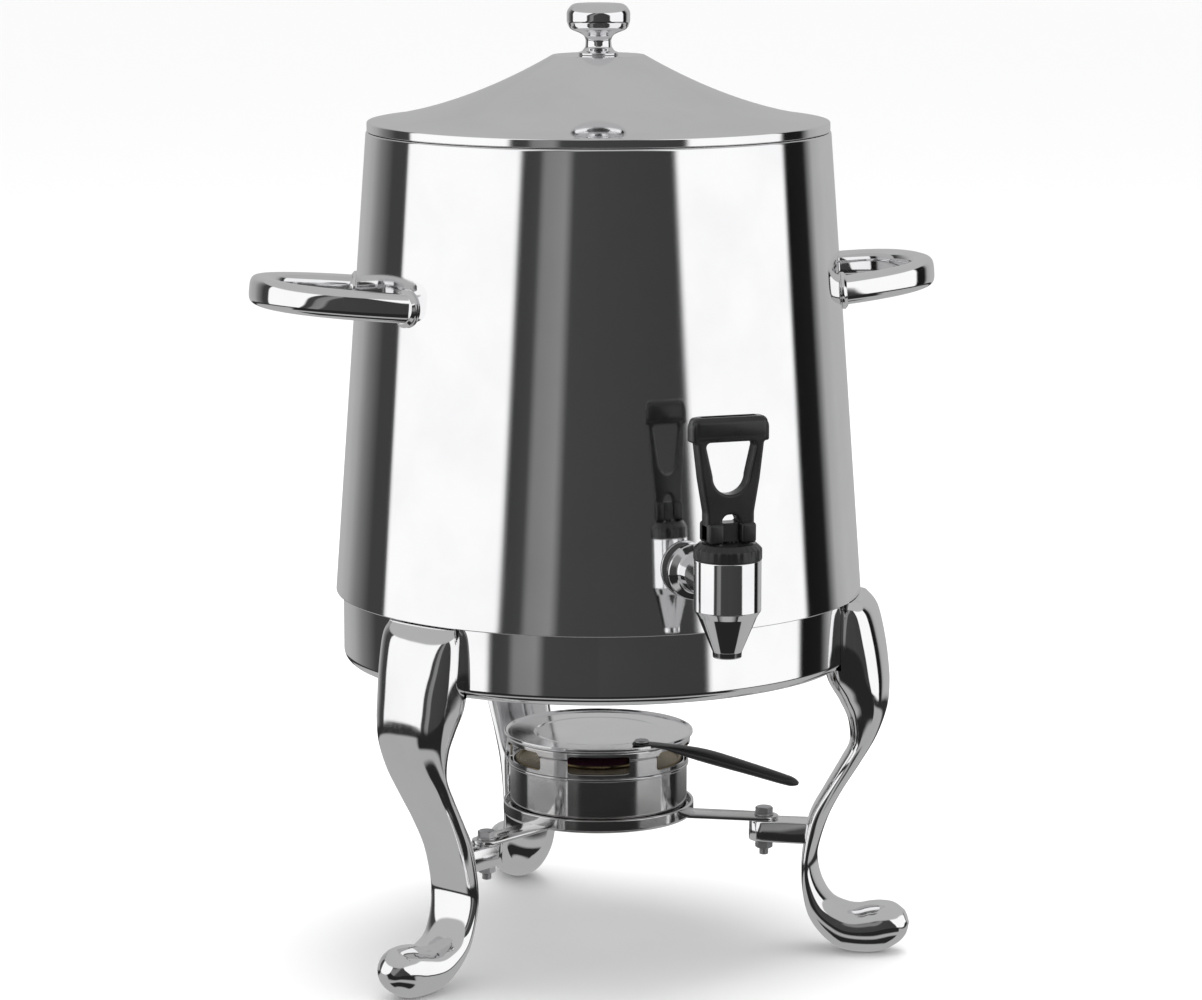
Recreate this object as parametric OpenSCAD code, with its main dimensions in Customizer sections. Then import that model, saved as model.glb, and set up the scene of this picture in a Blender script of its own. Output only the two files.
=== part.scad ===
// Coffee urn on three cabriole legs, with a fuel burner below, a tap in front and a lift-off lid.
// The origin is on the floor under the urn's axis, +Z is up, and the tap points along -Y.

/* [Urn] */
// Outer radius of the urn shell at its lower edge
shell_bottom_r = 136.5; // [135.5:0.5:138]
// Outer radius of the urn shell at its upper edge
shell_top_r = 119.1; // [118.6:0.1:121]
// Height of the urn shell's lower edge above the floor
shell_bottom_z = 188.8; // [188.6:0.1:189.5]
// Height of the urn shell's upper edge above the floor
shell_top_z = 426; // [420:1:440]
// Thickness of the stainless sheet
sheet = 1; // [0.8:0.1:1.2]
// Radius of the mouth that the lid closes
mouth_r = 112; // [110:0.5:113]

/* [Lid] */
// Outer radius of the lid's upright band
lid_band_r = 118.6; // [117.5:0.1:118.9]
// Height of the lid's upright band
lid_band_h = 5; // [4:0.5:6]
// Rise of the hollow cone from the band to the flat top
lid_rise = 32.5; // [25:0.5:40]
// Radius of the flat top under the knob
lid_flat_r = 25; // [20:0.5:30]
// Share of the cone's rise that is straight; the rest grows with the square
lid_straight_share = 0.39; // [0.2:0.01:1]
// Largest radius of the mushroom knob
knob_r = 16.2; // [14:0.1:18]
// Height of the knob above the lid's flat top
knob_h = 26.4; // [24:0.2:30]

/* [Water pan] */
// Outer radius of the water pan
pan_r = 132.7; // [131:0.1:133]
// Height of the pan's underside above the floor
pan_bottom_z = 153; // [152:0.5:154]
// Height of the pan's turned-in rim
pan_rim_z = 196.5; // [196:0.1:196.6]
// Radius of the pan's lower corner
pan_corner_r = 5; // [3:0.5:6]

/* [Legs] */
// Direction of the front legs, either side of the tap
front_leg_angle = 60; // [55:1:65]
// Radius at which the burner frame's bolts stand
lug_bolt_r = 88; // [86:1:92]
// Height of the top of the lug on each leg
lug_top_z = 68; // [66:0.5:69]
// Heights of the two screws that hold each leg
leg_screw_heights = [164, 180];

/* [Handles] */
// Height at which the two carrying handles leave the shell
handle_z = 343.8; // [330:0.2:360]
// Farthest reach of a handle from the urn's axis
handle_reach = 183; // [176:1:195]
// Half the distance between the two arms of a handle
handle_half_span = 45; // [42:1:50]
// Half the thickness of the handle's bar
handle_half_t = 6; // [5:0.2:7]
// Half the height of the handle's bar
handle_half_h = 7.3; // [6:0.1:8]
// Squareness of the handle's loop: 2 is half an ellipse, more is squarer
handle_squareness = 2.4; // [2:0.1:4]
// Upward tilt of the handles
handle_tilt = 5.4; // [0:0.2:8]
// Radius of the rosettes between the shell and the handle's arms
rosette_r = 9.5; // [9:0.5:11]
// Thickness of the rosettes
rosette_t = 3; // [2.5:0.5:4]

/* [Tap] */
// Distance from the urn's axis to the tap's axis
tap_reach = 185; // [180:1:190]
// Height of the shank through the shell
tap_shank_z = 221; // [220.5:0.1:221.5]
// Radius of the tap's round body
tap_body_r = 16.2; // [15.5:0.1:17]
// Height of the spout's lower end
spout_z = 187; // [184:0.5:190]
// Radius of the spout's lower end
spout_tip_r = 6.3; // [6:0.1:7]
// Radius of the threaded shank
shank_r = 8; // [7.5:0.1:8.5]
// Height of the top of the lever above the floor
lever_top_z = 304; // [302:0.5:308]
// Lift of the valve stem when the tap is open
stem_lift = 4.5; // [4:0.1:5]

/* [Burner] */
// Outer radius of the burner's cup
cup_r = 46.4; // [45:0.1:47]
// Height of the cup above the tray
cup_h = 26; // [25:0.5:26]
// Height of the underside of the swinging cover
cover_z = 110; // [110:0.1:111]
// Radius of the swinging cover
cover_r = 49.5; // [49:0.1:50]
// Direction of the cover's rivet, from the front towards +X
rivet_angle = 13.5; // [10:0.5:20]
// Distance of the rivet from the burner's axis
rivet_reach = 41; // [40:0.5:41.5]
// Length of the cover's handle from the rivet to the tip
cover_handle_length = 86; // [70:1:88]

/* [Hidden] */
$fn = 96;

// Smallest overlap that makes a cut run cleanly past a face
past = 0.5;
// Gap left between bodies that rest on or pass each other
gap = 0.3;
// Running clearance round a pin
pin_fit = 0.05;
leg_angles = [-front_leg_angle, front_leg_angle, 180];

// Outer radius of the tapered shell at a height
function shell_r(z) = shell_bottom_r
    + (shell_top_r - shell_bottom_r) * (z - shell_bottom_z) / (shell_top_z - shell_bottom_z);
// Slope of the shell's wall from the upright
shell_lean = atan((shell_bottom_r - shell_top_r) / (shell_top_z - shell_bottom_z));

lid_z = shell_top_z + gap;
lid_cone_z = lid_z + lid_band_h;
lid_cone_r = lid_band_r - 2;
lid_flat_z = lid_cone_z + lid_rise;
lid_steps = 18;
// Share of the cone's rise at a share t of the way in from the band
function lid_share(t) = lid_straight_share * t + (1 - lid_straight_share) * t * t;

tray_floor_z = lug_top_z + 2;
tray_r = 50;
cup_top_z = tray_floor_z + cup_h;
ring_top_z = cover_z - gap;
chamber_r = 11.5;
chamber_z = 213;
tap_low_z = 209;
tap_top_z = 232;
bonnet_top_z = 243;
lever_pin_z = 249;
pin_r = 1.5;
stem_r = 2.5;
bolt_r = 2.5;

// ---- helpers ----

// Turns a part drawn along +X so that it points at an angle from the front, -Y
module toward(angle) {
    rotate([0, 0, angle - 90]) children();
}

// Puts a part drawn along +Z square on the shell's wall, pointing out
module on_shell(angle, z) {
    toward(angle)
        translate([shell_r(z), 0, z])
            rotate([0, 90 - shell_lean, 0])
                children();
}

// Flat ring standing on the height z0
module ring(outer, inner, z0, z1) {
    translate([0, 0, z0])
        difference() {
            cylinder(r = outer, h = z1 - z0);
            translate([0, 0, -past]) cylinder(r = inner, h = z1 - z0 + 2 * past);
        }
}

// Solid of the shell's cone, grown outwards by an amount
module shell_cone(grow) {
    translate([0, 0, shell_bottom_z])
        cylinder(
            r1 = shell_bottom_r + grow, r2 = shell_top_r + grow,
            h = shell_top_z - shell_bottom_z, $fn = 360
        );
}

// Points of a quarter circle from one angle to another
function arc(cx, cz, r, from, to, steps = 8) =
    [for (i = [0 : steps]) let (a = from + (to - from) * i / steps) [cx + r * cos(a), cz + r * sin(a)]];

// Hexagon prism across its flats
module hexagon(flats, h) {
    cylinder(r = flats / 2 / cos(30), h = h, $fn = 6);
}

// ---- stand: pan, legs and burner frame ----

module water_pan() {
    corner_r = pan_r - pan_corner_r;
    corner_z = pan_bottom_z + pan_corner_r;
    color("silver")
        difference() {
            rotate_extrude()
                polygon(concat(
                    [[0, pan_bottom_z]],
                    arc(corner_r, corner_z, pan_corner_r, -90, 0),
                    [[pan_r, pan_rim_z], [pan_r - 4.5, pan_rim_z], [pan_r - 4.5, pan_rim_z - sheet]],
                    [[pan_r - sheet, pan_rim_z - sheet]],
                    arc(corner_r, corner_z, pan_corner_r - sheet, 0, -90),
                    [[0, pan_bottom_z + sheet]]
                ));
            leg_fasteners() cylinder(r = bolt_r + 0.2, h = 10);
        }
}

// Repeats a part drawn along +Z at every leg screw, starting inside the pan and pointing out
module leg_fasteners() {
    for (a = leg_angles)
        for (z = leg_screw_heights)
            toward(a)
                translate([pan_r - 6, 0, z])
                    rotate([0, 90, 0])
                        children();
}

module leg_screws() {
    color("silver")
        leg_fasteners() {
            translate([0, 0, 4.0]) cylinder(r = bolt_r, h = 11);
            translate([0, 0, 1.2]) cylinder(r = 4.5, h = 2.8);
        }
}

module leg_sealing_washers() {
    color("dimgray")
        leg_fasteners() ring(5.5, bolt_r + pin_fit, 4.0, 4.9);
}

// Stations down the leg: the front's reach and height, the back's reach and height, half width, bevel and
// squareness. A bevel of 1 is a diamond and 4 keeps the full corner; a squareness of 2 is an ellipse.
leg_stations = [
    [137, 193.4, 129, 192.8, 20, 1.6, 8], [139.6, 189.2, 126.8, 188, 22.2, 1.58, 8],
    [145.8, 182.4, 121.2, 181.4, 24.4, 1.55, 8], [149.8, 167.4, 118.2, 165, 25, 1.55, 8],
    [152, 152.5, 120.8, 147, 24, 1.55, 8], [152.6, 141, 127.6, 135, 22.5, 1.58, 7.5],
    [151.5, 129, 132.2, 125, 20.9, 1.65, 6], [146.4, 114.4, 132.8, 112.5, 19.3, 1.75, 4],
    [137.6, 99, 127.8, 102, 18, 2, 3.4], [128.6, 84.4, 119.7, 87.5, 16.9, 2.6, 3],
    [121.6, 70.4, 112.3, 73.1, 16.2, 4, 2.7], [116.7, 55, 109.2, 55.4, 15.9, 4, 2.6],
    [115.7, 46, 108.7, 42, 15.7, 4, 2.6], [118.6, 35.6, 109.3, 31, 15.1, 4, 2.5],
    [124.4, 28, 112.4, 17.5, 14.7, 4, 2.3], [132, 25.2, 120.6, 6.3, 14.4, 4, 2.2],
    [138, 24.8, 131.6, -0.1, 14, 4, 2.2], [144, 26.2, 148.2, -0.4, 12.9, 4, 2.2],
    [150.1, 26.8, 157.9, 4, 11.6, 4, 2.2], [156.3, 26, 162.9, 9.2, 8.8, 4, 2.2],
    [161.5, 22.7, 164.5, 15.3, 4, 4, 2.2]
];
leg_substeps = 3;
leg_sides = 32;

// Catmull-Rom blend of four neighbouring stations
function blend(a, b, c, d, t) =
    0.5 * (2 * b + (c - a) * t + (2 * a - 5 * b + 4 * c - d) * t * t + (3 * b - a - 3 * c + d) * t * t * t);
function station(i) = leg_stations[max(0, min(len(leg_stations) - 1, i))];
function leg_at(s) =
    let (i = min(floor(s), len(leg_stations) - 2), t = s - i)
    blend(station(i - 1), station(i), station(i + 1), station(i + 2), t);
// Signed power, for rounded shapes between an ellipse and a square
function spow(v, p) = sign(v) * pow(abs(v), p);
// Size of a direction measured in the bevelled, rounded cross-section
function section_size(c, s, bevel, n) =
    pow(pow(abs(c), n) + pow(abs(s), n) + pow((abs(c) + abs(s)) / bevel, n), 1 / n);
// One ring of points between the leg's front and back
function leg_ring(s) =
    let (
        here = leg_at(s),
        middle = [here[0] + here[2], here[1] + here[3]] / 2,
        half = [here[0] - here[2], here[1] - here[3]] / 2
    )
    [for (k = [0 : leg_sides - 1])
        let (
            a = 360 * k / leg_sides,
            size = section_size(cos(a), sin(a), here[5], here[6]) / section_size(1, 0, here[5], here[6]),
            out = sin(a) / size
        )
        [middle[0] + out * half[0], here[4] * cos(a) / size, middle[1] + out * half[1]]];

module leg_sweep() {
    rings = leg_substeps * (len(leg_stations) - 1);
    points = [for (i = [0 : rings]) each leg_ring(i / leg_substeps)];
    walls = [for (i = [0 : rings - 1])
        for (k = [0 : leg_sides - 1])
            let (
                a = i * leg_sides + k,
                b = i * leg_sides + (k + 1) % leg_sides
            )
            each [[a, b + leg_sides, b], [a, a + leg_sides, b + leg_sides]]];
    first_end = [for (k = [0 : leg_sides - 1]) k];
    last_end = [for (k = [leg_sides - 1 : -1 : 0]) rings * leg_sides + k];
    polyhedron(points = points, faces = concat(walls, [first_end, last_end]), convexity = 6);
}

module leg(angle) {
    seam_z = shell_bottom_z - gap;
    lug_h = 11;
    toward(angle)
        color("silver")
            difference() {
                union() {
                    leg_sweep();
                    translate([lug_bolt_r, -8, lug_top_z - lug_h]) cube([27, 16, lug_h]);
                    translate([lug_bolt_r, 0, lug_top_z - lug_h]) cylinder(r = 8, h = lug_h);
                }
                // seat round the pan's wall, which leaves a ledge under the pan
                translate([0, 0, pan_bottom_z]) cylinder(r = pan_r + 0.1, h = 80, $fn = 180);
                // level top at the urn's lower edge, and level sole on the floor
                translate([100, -40, seam_z]) cube([80, 80, 40]);
                translate([90, -40, -20]) cube([90, 80, 20]);
                // bolt hole through the lug, and the two blind screw holes
                translate([lug_bolt_r, 0, lug_top_z - lug_h - past])
                    cylinder(r = bolt_r + 0.25, h = lug_h + 2 * past);
                for (z = leg_screw_heights)
                    translate([pan_r - past, 0, z])
                        rotate([0, 90, 0])
                            cylinder(r = bolt_r + pin_fit, h = 10);
            }
}

module burner_frame() {
    arm_w = 15;
    arm_h = tray_floor_z - lug_top_z;
    tray_wall = 1.5;
    color("silver")
        difference() {
            union() {
                rotate_extrude()
                    polygon([
                        [18, lug_top_z], [tray_r, lug_top_z], [tray_r, tray_floor_z + 5],
                        [tray_r - tray_wall, tray_floor_z + 5], [tray_r - tray_wall, tray_floor_z],
                        [18, tray_floor_z]
                    ]);
                for (a = leg_angles)
                    toward(a) {
                        translate([tray_r - 2, -arm_w / 2, lug_top_z])
                            cube([lug_bolt_r - tray_r + 2, arm_w, arm_h]);
                        translate([lug_bolt_r, 0, lug_top_z]) cylinder(r = arm_w / 2, h = arm_h);
                    }
            }
            frame_fasteners() translate([0, 0, lug_top_z - past])
                cylinder(r = bolt_r + 0.25, h = arm_h + 2 * past);
        }
}

// Repeats an upright part at each of the three frame bolts
module frame_fasteners() {
    for (a = leg_angles)
        toward(a)
            translate([lug_bolt_r, 0, 0])
                children();
}

module frame_washers() {
    color("silver")
        frame_fasteners() ring(5, bolt_r + 0.15, tray_floor_z, tray_floor_z + 1);
}

module frame_bolts() {
    color("silver")
        frame_fasteners() {
            translate([0, 0, lug_top_z - 19]) cylinder(r = bolt_r, h = 22);
            translate([0, 0, tray_floor_z + 1]) hexagon(8, 3.5);
        }
}

module frame_nuts() {
    nut_h = 4.5;
    color("silver")
        frame_fasteners()
            translate([0, 0, lug_top_z - 11 - nut_h])
                difference() {
                    hexagon(8, nut_h);
                    translate([0, 0, -past]) cylinder(r = bolt_r + pin_fit, h = nut_h + 2 * past);
                }
}

// ---- burner ----

module burner_cup() {
    floor_z = tray_floor_z + 0.1;
    color("silver")
        rotate_extrude()
            polygon([
                [0, floor_z], [cup_r - 3, floor_z], [cup_r, floor_z + 3], [cup_r, cup_top_z - 1.5],
                [cup_r + 0.9, cup_top_z - 1.5], [cup_r + 0.9, cup_top_z], [cup_r - sheet, cup_top_z],
                [cup_r - sheet, floor_z + 3.4], [cup_r - 3.4, floor_z + sheet], [0, floor_z + sheet]
            ]);
}

module burner_top_ring() {
    wall_in = cup_r - 1.2;
    window_count = 6;
    window_w = 32;
    window_h = 8.8;
    color("silver")
        difference() {
            rotate_extrude()
                polygon([
                    [wall_in - 0.8, cup_top_z - 6], [wall_in, cup_top_z - 6], [wall_in, cup_top_z],
                    [cup_r + 0.4, cup_top_z], [cup_r + 0.4, cup_top_z + 9], [cup_r + 1.6, cup_top_z + 10],
                    [cup_r + 1.6, ring_top_z], [28, ring_top_z], [28, ring_top_z - sheet],
                    [cup_r - 0.8, ring_top_z - sheet], [cup_r - 0.8, cup_top_z + 1],
                    [wall_in - 0.8, cup_top_z + 1]
                ]);
            for (k = [0 : window_count - 1])
                rotate([0, 0, k * 360 / window_count - 19.5 - 90])
                    translate([cup_r - 6, -window_w / 2, cup_top_z + 2])
                        cube([12, window_w, window_h]);
            at_rivet() translate([0, 0, cup_top_z]) cylinder(r = bolt_r + pin_fit, h = 20);
        }
}

module fuel_tin() {
    low = tray_floor_z + 0.1 + sheet + 0.1;
    top = cup_top_z + 1.8;
    tin_r = cup_r - sheet - 1.8;
    color("goldenrod")
        rotate_extrude()
            polygon([
                [0, low], [tin_r - 1.2, low], [tin_r, low + 1.2], [tin_r, top - 2], [tin_r - 2, top],
                [24, top], [24, top - 0.6], [tin_r - 2.6, top - 0.6], [tin_r - 0.6, top - 2.6],
                [tin_r - 0.6, low + 1.45], [tin_r - 1.45, low + 0.6], [0, low + 0.6]
            ]);
}

module fuel_gel() {
    low = tray_floor_z + sheet + 0.9;
    gel_r = cup_r - sheet - 2.6;
    color("plum")
        rotate_extrude()
            polygon([[0, low], [gel_r - 1.2, low], [gel_r, low + 1.2], [gel_r, low + 19], [0, low + 19]]);
}

// Moves a part to the cover's rivet
module at_rivet() {
    toward(rivet_angle) translate([rivet_reach, 0, 0]) children();
}

module damper_cover() {
    edge_h = 2.4;
    color("silver")
        difference() {
            rotate_extrude()
                polygon([
                    [0, cover_z], [cover_r - 1, cover_z], [cover_r, cover_z + 1], [cover_r, cover_z + edge_h],
                    [cover_r - 1, cover_z + edge_h], [cover_r - 1.2, cover_z + 1.2], [0, cover_z + 1.2]
                ]);
            at_rivet() translate([0, 0, cover_z - past]) cylinder(r = bolt_r + pin_fit, h = 5);
            // notch in the turned-up edge for the handle's strap
            at_rivet()
                rotate([0, 0, 34.6])
                    translate([-2, -5, cover_z + 1.2])
                        cube([20, 10, 5]);
        }
}

module damper_handle() {
    strap_z = cover_z + 1.3;
    drop = 11.5;
    grip_start = 17;
    color("#1c1c1c")
        at_rivet()
            rotate([0, 0, 34.6])
                difference() {
                    union() {
                        translate([0, 0, strap_z]) cylinder(r = 4.5, h = 1.6);
                        translate([0, -4, strap_z]) cube([grip_start, 8, 1.6]);
                        hull() {
                            translate([grip_start - 2, -4, strap_z - 0.8]) cube([1, 8, 2.8]);
                            translate([grip_start + 20, 0, strap_z - 2.4])
                                scale([1, 1, 0.55]) sphere(r = 6, $fn = 24);
                        }
                        hull() {
                            translate([grip_start + 20, 0, strap_z - 2.4])
                                scale([1, 1, 0.55]) sphere(r = 6, $fn = 24);
                            translate([cover_handle_length - 4.5, 0, strap_z - drop])
                                scale([1, 1, 0.6]) sphere(r = 4.5, $fn = 24);
                        }
                    }
                    translate([0, 0, strap_z - past]) cylinder(r = bolt_r + pin_fit, h = 3);
                }
}

module damper_rivet() {
    color("gainsboro")
        at_rivet() {
            translate([0, 0, ring_top_z - 2.6]) cylinder(r = bolt_r, h = 7.2);
            translate([0, 0, ring_top_z - 2.6]) cylinder(r = 4, h = 1.3);
            translate([0, 0, cover_z + 3]) cylinder(r1 = 4.2, r2 = 3, h = 1.3);
        }
}

// ---- urn ----

module urn_shell() {
    color("silver")
        difference() {
            rotate_extrude()
                polygon([
                    [shell_bottom_r, shell_bottom_z], [shell_top_r, shell_top_z], [mouth_r, shell_top_z],
                    [mouth_r, shell_top_z - sheet], [shell_top_r - sheet, shell_top_z - sheet],
                    [shell_bottom_r - sheet, shell_bottom_z]
                ]);
            translate([0, 0, tap_shank_z])
                rotate([90, 0, 0])
                    cylinder(r = shank_r + 0.3, h = shell_bottom_r + 10);
            handle_fixings() translate([0, 0, -5]) cylinder(r = bolt_r + 0.2, h = 10);
        }
}

module urn_bottom() {
    flange_t = 0.9;
    low_z = shell_bottom_z + 1.5;
    floor_z = pan_rim_z + 0.5;
    function inner(z) = shell_r(z) - sheet - 0.05;
    color("silver")
        rotate_extrude()
            polygon([
                [0, floor_z], [inner(floor_z) - flange_t, floor_z], [inner(low_z) - flange_t, low_z],
                [inner(low_z), low_z], [inner(floor_z + sheet), floor_z + sheet], [0, floor_z + sheet]
            ]);
}

// Angle from the middle of a handle to each of its two arms, seen from the urn's axis
arm_angle = asin(handle_half_span / (shell_r(handle_z) + rosette_t / 2));

// Repeats a part square on the shell at all four handle arms
module handle_fixings() {
    for (side = [-90, 90])
        for (turn = [-arm_angle, arm_angle])
            on_shell(side + turn, handle_z)
                children();
}

// Point of the handle's centre line, from -90 at one arm to 90 at the other
function handle_point(t) =
    let (
        root_x = sqrt(pow(shell_r(handle_z), 2) - pow(handle_half_span, 2)),
        power = 2 / handle_squareness,
        x = root_x + (handle_reach - handle_half_t - root_x) * pow(abs(cos(t)), power)
    )
    [x, handle_half_span * spow(sin(t), power), handle_z + (x - root_x) * tan(handle_tilt)];

// The centre line from inside the shell, round the loop and back
handle_path = let (
        inner = 100,
        first = handle_point(-90),
        drop = (first[0] - inner) * tan(handle_tilt)
    )
    concat(
        [[inner, -handle_half_span, handle_z - drop]],
        [for (t = [-90 : 6 : 90]) handle_point(t)],
        [[inner, handle_half_span, handle_z - drop]]
    );

// A handle that points along +X
module handle_loop() {
    sides = 32;
    section_power = 2 / 3.4;
    last = len(handle_path) - 1;
    up = [-sin(handle_tilt), 0, cos(handle_tilt)];
    points = [for (i = [0 : last])
        let (
            way = handle_path[min(last, i + 1)] - handle_path[max(0, i - 1)],
            out = cross(way / norm(way), up)
        )
        for (k = [0 : sides - 1])
            handle_path[i]
                + handle_half_t * spow(cos(360 * k / sides), section_power) * out
                + handle_half_h * spow(sin(360 * k / sides), section_power) * up];
    walls = [for (i = [0 : last - 1])
        for (k = [0 : sides - 1])
            let (
                a = i * sides + k,
                b = i * sides + (k + 1) % sides
            )
            each [[a, b + sides, b], [a, a + sides, b + sides]]];
    first_end = [for (k = [0 : sides - 1]) k];
    last_end = [for (k = [sides - 1 : -1 : 0]) last * sides + k];
    difference() {
        polyhedron(points = points, faces = concat(walls, [first_end, last_end]), convexity = 6);
        shell_cone(rosette_t + 0.05);
        for (turn = [-arm_angle, arm_angle])
            on_shell(90 + turn, handle_z) cylinder(r = bolt_r + pin_fit, h = 12);
    }
}

module handle_left() {
    color("silver") rotate([0, 0, 180]) handle_loop();
}

module handle_right() {
    color("silver") handle_loop();
}

module handle_rosettes() {
    color("silver")
        difference() {
            handle_fixings() translate([0, 0, -6]) cylinder(r = rosette_r, h = 18);
            shell_cone(0.02);
            difference() {
                translate([0, 0, shell_bottom_z - 5]) cylinder(r = 220, h = 260);
                shell_cone(rosette_t);
            }
            handle_fixings() translate([0, 0, -10]) cylinder(r = bolt_r + 0.2, h = 30);
        }
}

module handle_screws() {
    color("gainsboro")
        handle_fixings() {
            translate([0, 0, -sheet - 1.3]) cylinder(r = bolt_r, h = 12.6);
            translate([0, 0, -sheet - 4.3]) cylinder(r = 4.5, h = 3);
        }
}

module handle_washers() {
    color("silver")
        handle_fixings() translate([0, 0, -sheet - 1.3]) ring(6, bolt_r + 0.1, 0, 1.1);
}

// ---- tap ----

// Lays a part drawn along +Z on the shank's axis, pointing at the urn, starting at a reach
module on_shank(reach) {
    translate([0, -reach, tap_shank_z]) rotate([-90, 0, 0]) children();
}

shank_end = 112;
flange_reach = 141.5;
gasket_r = 13;
gasket_t = 2.6;

module tap_body() {
    color("gainsboro")
        difference() {
            union() {
                translate([0, -tap_reach, 0])
                    rotate_extrude()
                        polygon([
                            [0, spout_z], [spout_tip_r, spout_z], [spout_tip_r, spout_z + 2.5],
                            [tap_body_r - 1.5, tap_low_z - 1], [tap_body_r, tap_low_z + 0.5],
                            [tap_body_r, tap_top_z], [0, tap_top_z]
                        ]);
                on_shank(tap_reach) cylinder(r = shank_r + 1.6, h = tap_reach - flange_reach + 1);
                on_shank(flange_reach) cylinder(r = gasket_r + 1, h = 3.2);
                on_shank(flange_reach) cylinder(r = shank_r, h = flange_reach - shank_end);
            }
            translate([0, -tap_reach, chamber_z]) cylinder(r = chamber_r, h = 30);
            translate([0, -tap_reach, spout_z - past]) cylinder(r = 4.4, h = 40);
            on_shank(tap_reach) cylinder(r = 5.4, h = tap_reach - shank_end + past);
        }
}

module tap_gasket_outer() {
    color("dimgray")
        difference() {
            on_shank(flange_reach - 3.25) cylinder(r = gasket_r, h = 12);
            shell_cone(0.02);
            on_shank(tap_reach) cylinder(r = shank_r + pin_fit, h = 80);
        }
}

module tap_gasket_inner() {
    wall_reach = shell_r(tap_shank_z) - sheet;
    color("dimgray")
        difference() {
            on_shank(wall_reach + 2) cylinder(r = gasket_r - 1, h = gasket_t + 2);
            difference() {
                translate([0, 0, shell_bottom_z]) cylinder(r = 160, h = 70);
                shell_cone(-sheet - 0.02);
            }
            on_shank(tap_reach) cylinder(r = shank_r + pin_fit, h = 80);
        }
}

module tap_nut() {
    nut_reach = shell_r(tap_shank_z) - sheet - gasket_t - 0.05;
    nut_t = 7;
    color("gainsboro")
        difference() {
            on_shank(nut_reach) rotate([0, 0, 30]) hexagon(24, nut_t);
            on_shank(nut_reach + past) cylinder(r = shank_r + pin_fit, h = nut_t + 2 * past);
        }
}

module tap_bonnet() {
    skirt_z = 227.5;
    color("#1c1c1c")
        translate([0, -tap_reach, 0])
            rotate_extrude()
                polygon([
                    [8, skirt_z], [chamber_r - 0.1, skirt_z], [chamber_r - 0.1, tap_top_z + 0.05],
                    [tap_body_r + 0.3, tap_top_z + 0.05], [tap_body_r + 0.3, bonnet_top_z - 2.5],
                    [tap_body_r - 2.2, bonnet_top_z], [stem_r + 0.3, bonnet_top_z],
                    [stem_r + 0.3, bonnet_top_z - 3], [8, bonnet_top_z - 3]
                ]);
}

spring_low_z = 220.6;
spring_high_z = bonnet_top_z - 3.1;
spring_mean_r = 5.6;
wire_r = 0.6;

// Coil spring as one swept tube with square-cut ends
module tap_spring() {
    turns = 6;
    per_turn = 16;
    sides = 8;
    rings = turns * per_turn;
    low = spring_low_z + wire_r;
    rise = spring_high_z - spring_low_z - 2 * wire_r;
    points = [for (i = [0 : rings])
        for (k = [0 : sides - 1])
            let (
                turn = 360 * i / per_turn,
                r = spring_mean_r + wire_r * cos(360 * k / sides)
            )
            [r * cos(turn), r * sin(turn), low + rise * i / rings + wire_r * sin(360 * k / sides)]];
    walls = [for (i = [0 : rings - 1])
        for (k = [0 : sides - 1])
            let (
                a = i * sides + k,
                b = i * sides + (k + 1) % sides
            )
            each [[a, b + sides, b], [a, a + sides, b + sides]]];
    first_end = [for (k = [0 : sides - 1]) k];
    last_end = [for (k = [sides - 1 : -1 : 0]) rings * sides + k];
    color("silver")
        translate([0, -tap_reach, 0])
            polyhedron(points = points, faces = concat(walls, [first_end, last_end]), convexity = 8);
}

module tap_stem() {
    eye_low_z = bonnet_top_z + 1.2;
    color("gainsboro")
        translate([0, -tap_reach, 0])
            difference() {
                union() {
                    translate([0, 0, chamber_z + 2]) cylinder(r = stem_r, h = lever_pin_z - chamber_z - 2);
                    translate([0, 0, spring_low_z - 1.4]) cylinder(r = 6.8, h = 1.3);
                    translate([-3.8, -4, eye_low_z]) cube([7.6, 8, lever_pin_z + 4 - eye_low_z]);
                }
                translate([-10, 0, lever_pin_z])
                    rotate([0, 90, 0])
                        cylinder(r = pin_r + pin_fit, h = 20);
            }
}

module tap_seat_cup() {
    cup_z = chamber_z + 0.1;
    color("#3a3a3a")
        translate([0, -tap_reach, 0])
            difference() {
                translate([0, 0, cup_z]) cylinder(r = 7.4, h = spring_low_z - 1.5 - cup_z);
                translate([0, 0, chamber_z + 2 - 0.05]) cylinder(r = stem_r + pin_fit, h = 10);
            }
}

// Front outline of the lever: stem, two splayed sides, a rounded window and a cross bar with round ends
module lever_outline() {
    stem_half = 12;
    side_half = 17;
    bar_r = 6;
    bar_half = 13.5;
    bar_z = lever_top_z - bar_r;
    low_z = bonnet_top_z + gap;
    splay_z = 258;
    window_r = 9.2;
    window_z = 275.8;
    window_half = 13;
    difference() {
        union() {
            polygon([
                [-stem_half, low_z], [stem_half, low_z], [stem_half, splay_z],
                [side_half - 2.2, 274], [side_half, bar_z - 2], [-side_half, bar_z - 2],
                [-side_half + 2.2, 274], [-stem_half, splay_z]
            ]);
            translate([-bar_half, bar_z - bar_r]) square([2 * bar_half, 2 * bar_r]);
            for (side = [-1, 1])
                translate([side * bar_half, bar_z]) circle(r = bar_r);
        }
        translate([0, window_z]) circle(r = window_r);
        polygon([
            [-window_r, window_z], [window_r, window_z],
            [window_half, bar_z - bar_r], [-window_half, bar_z - bar_r]
        ]);
    }
}

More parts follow.
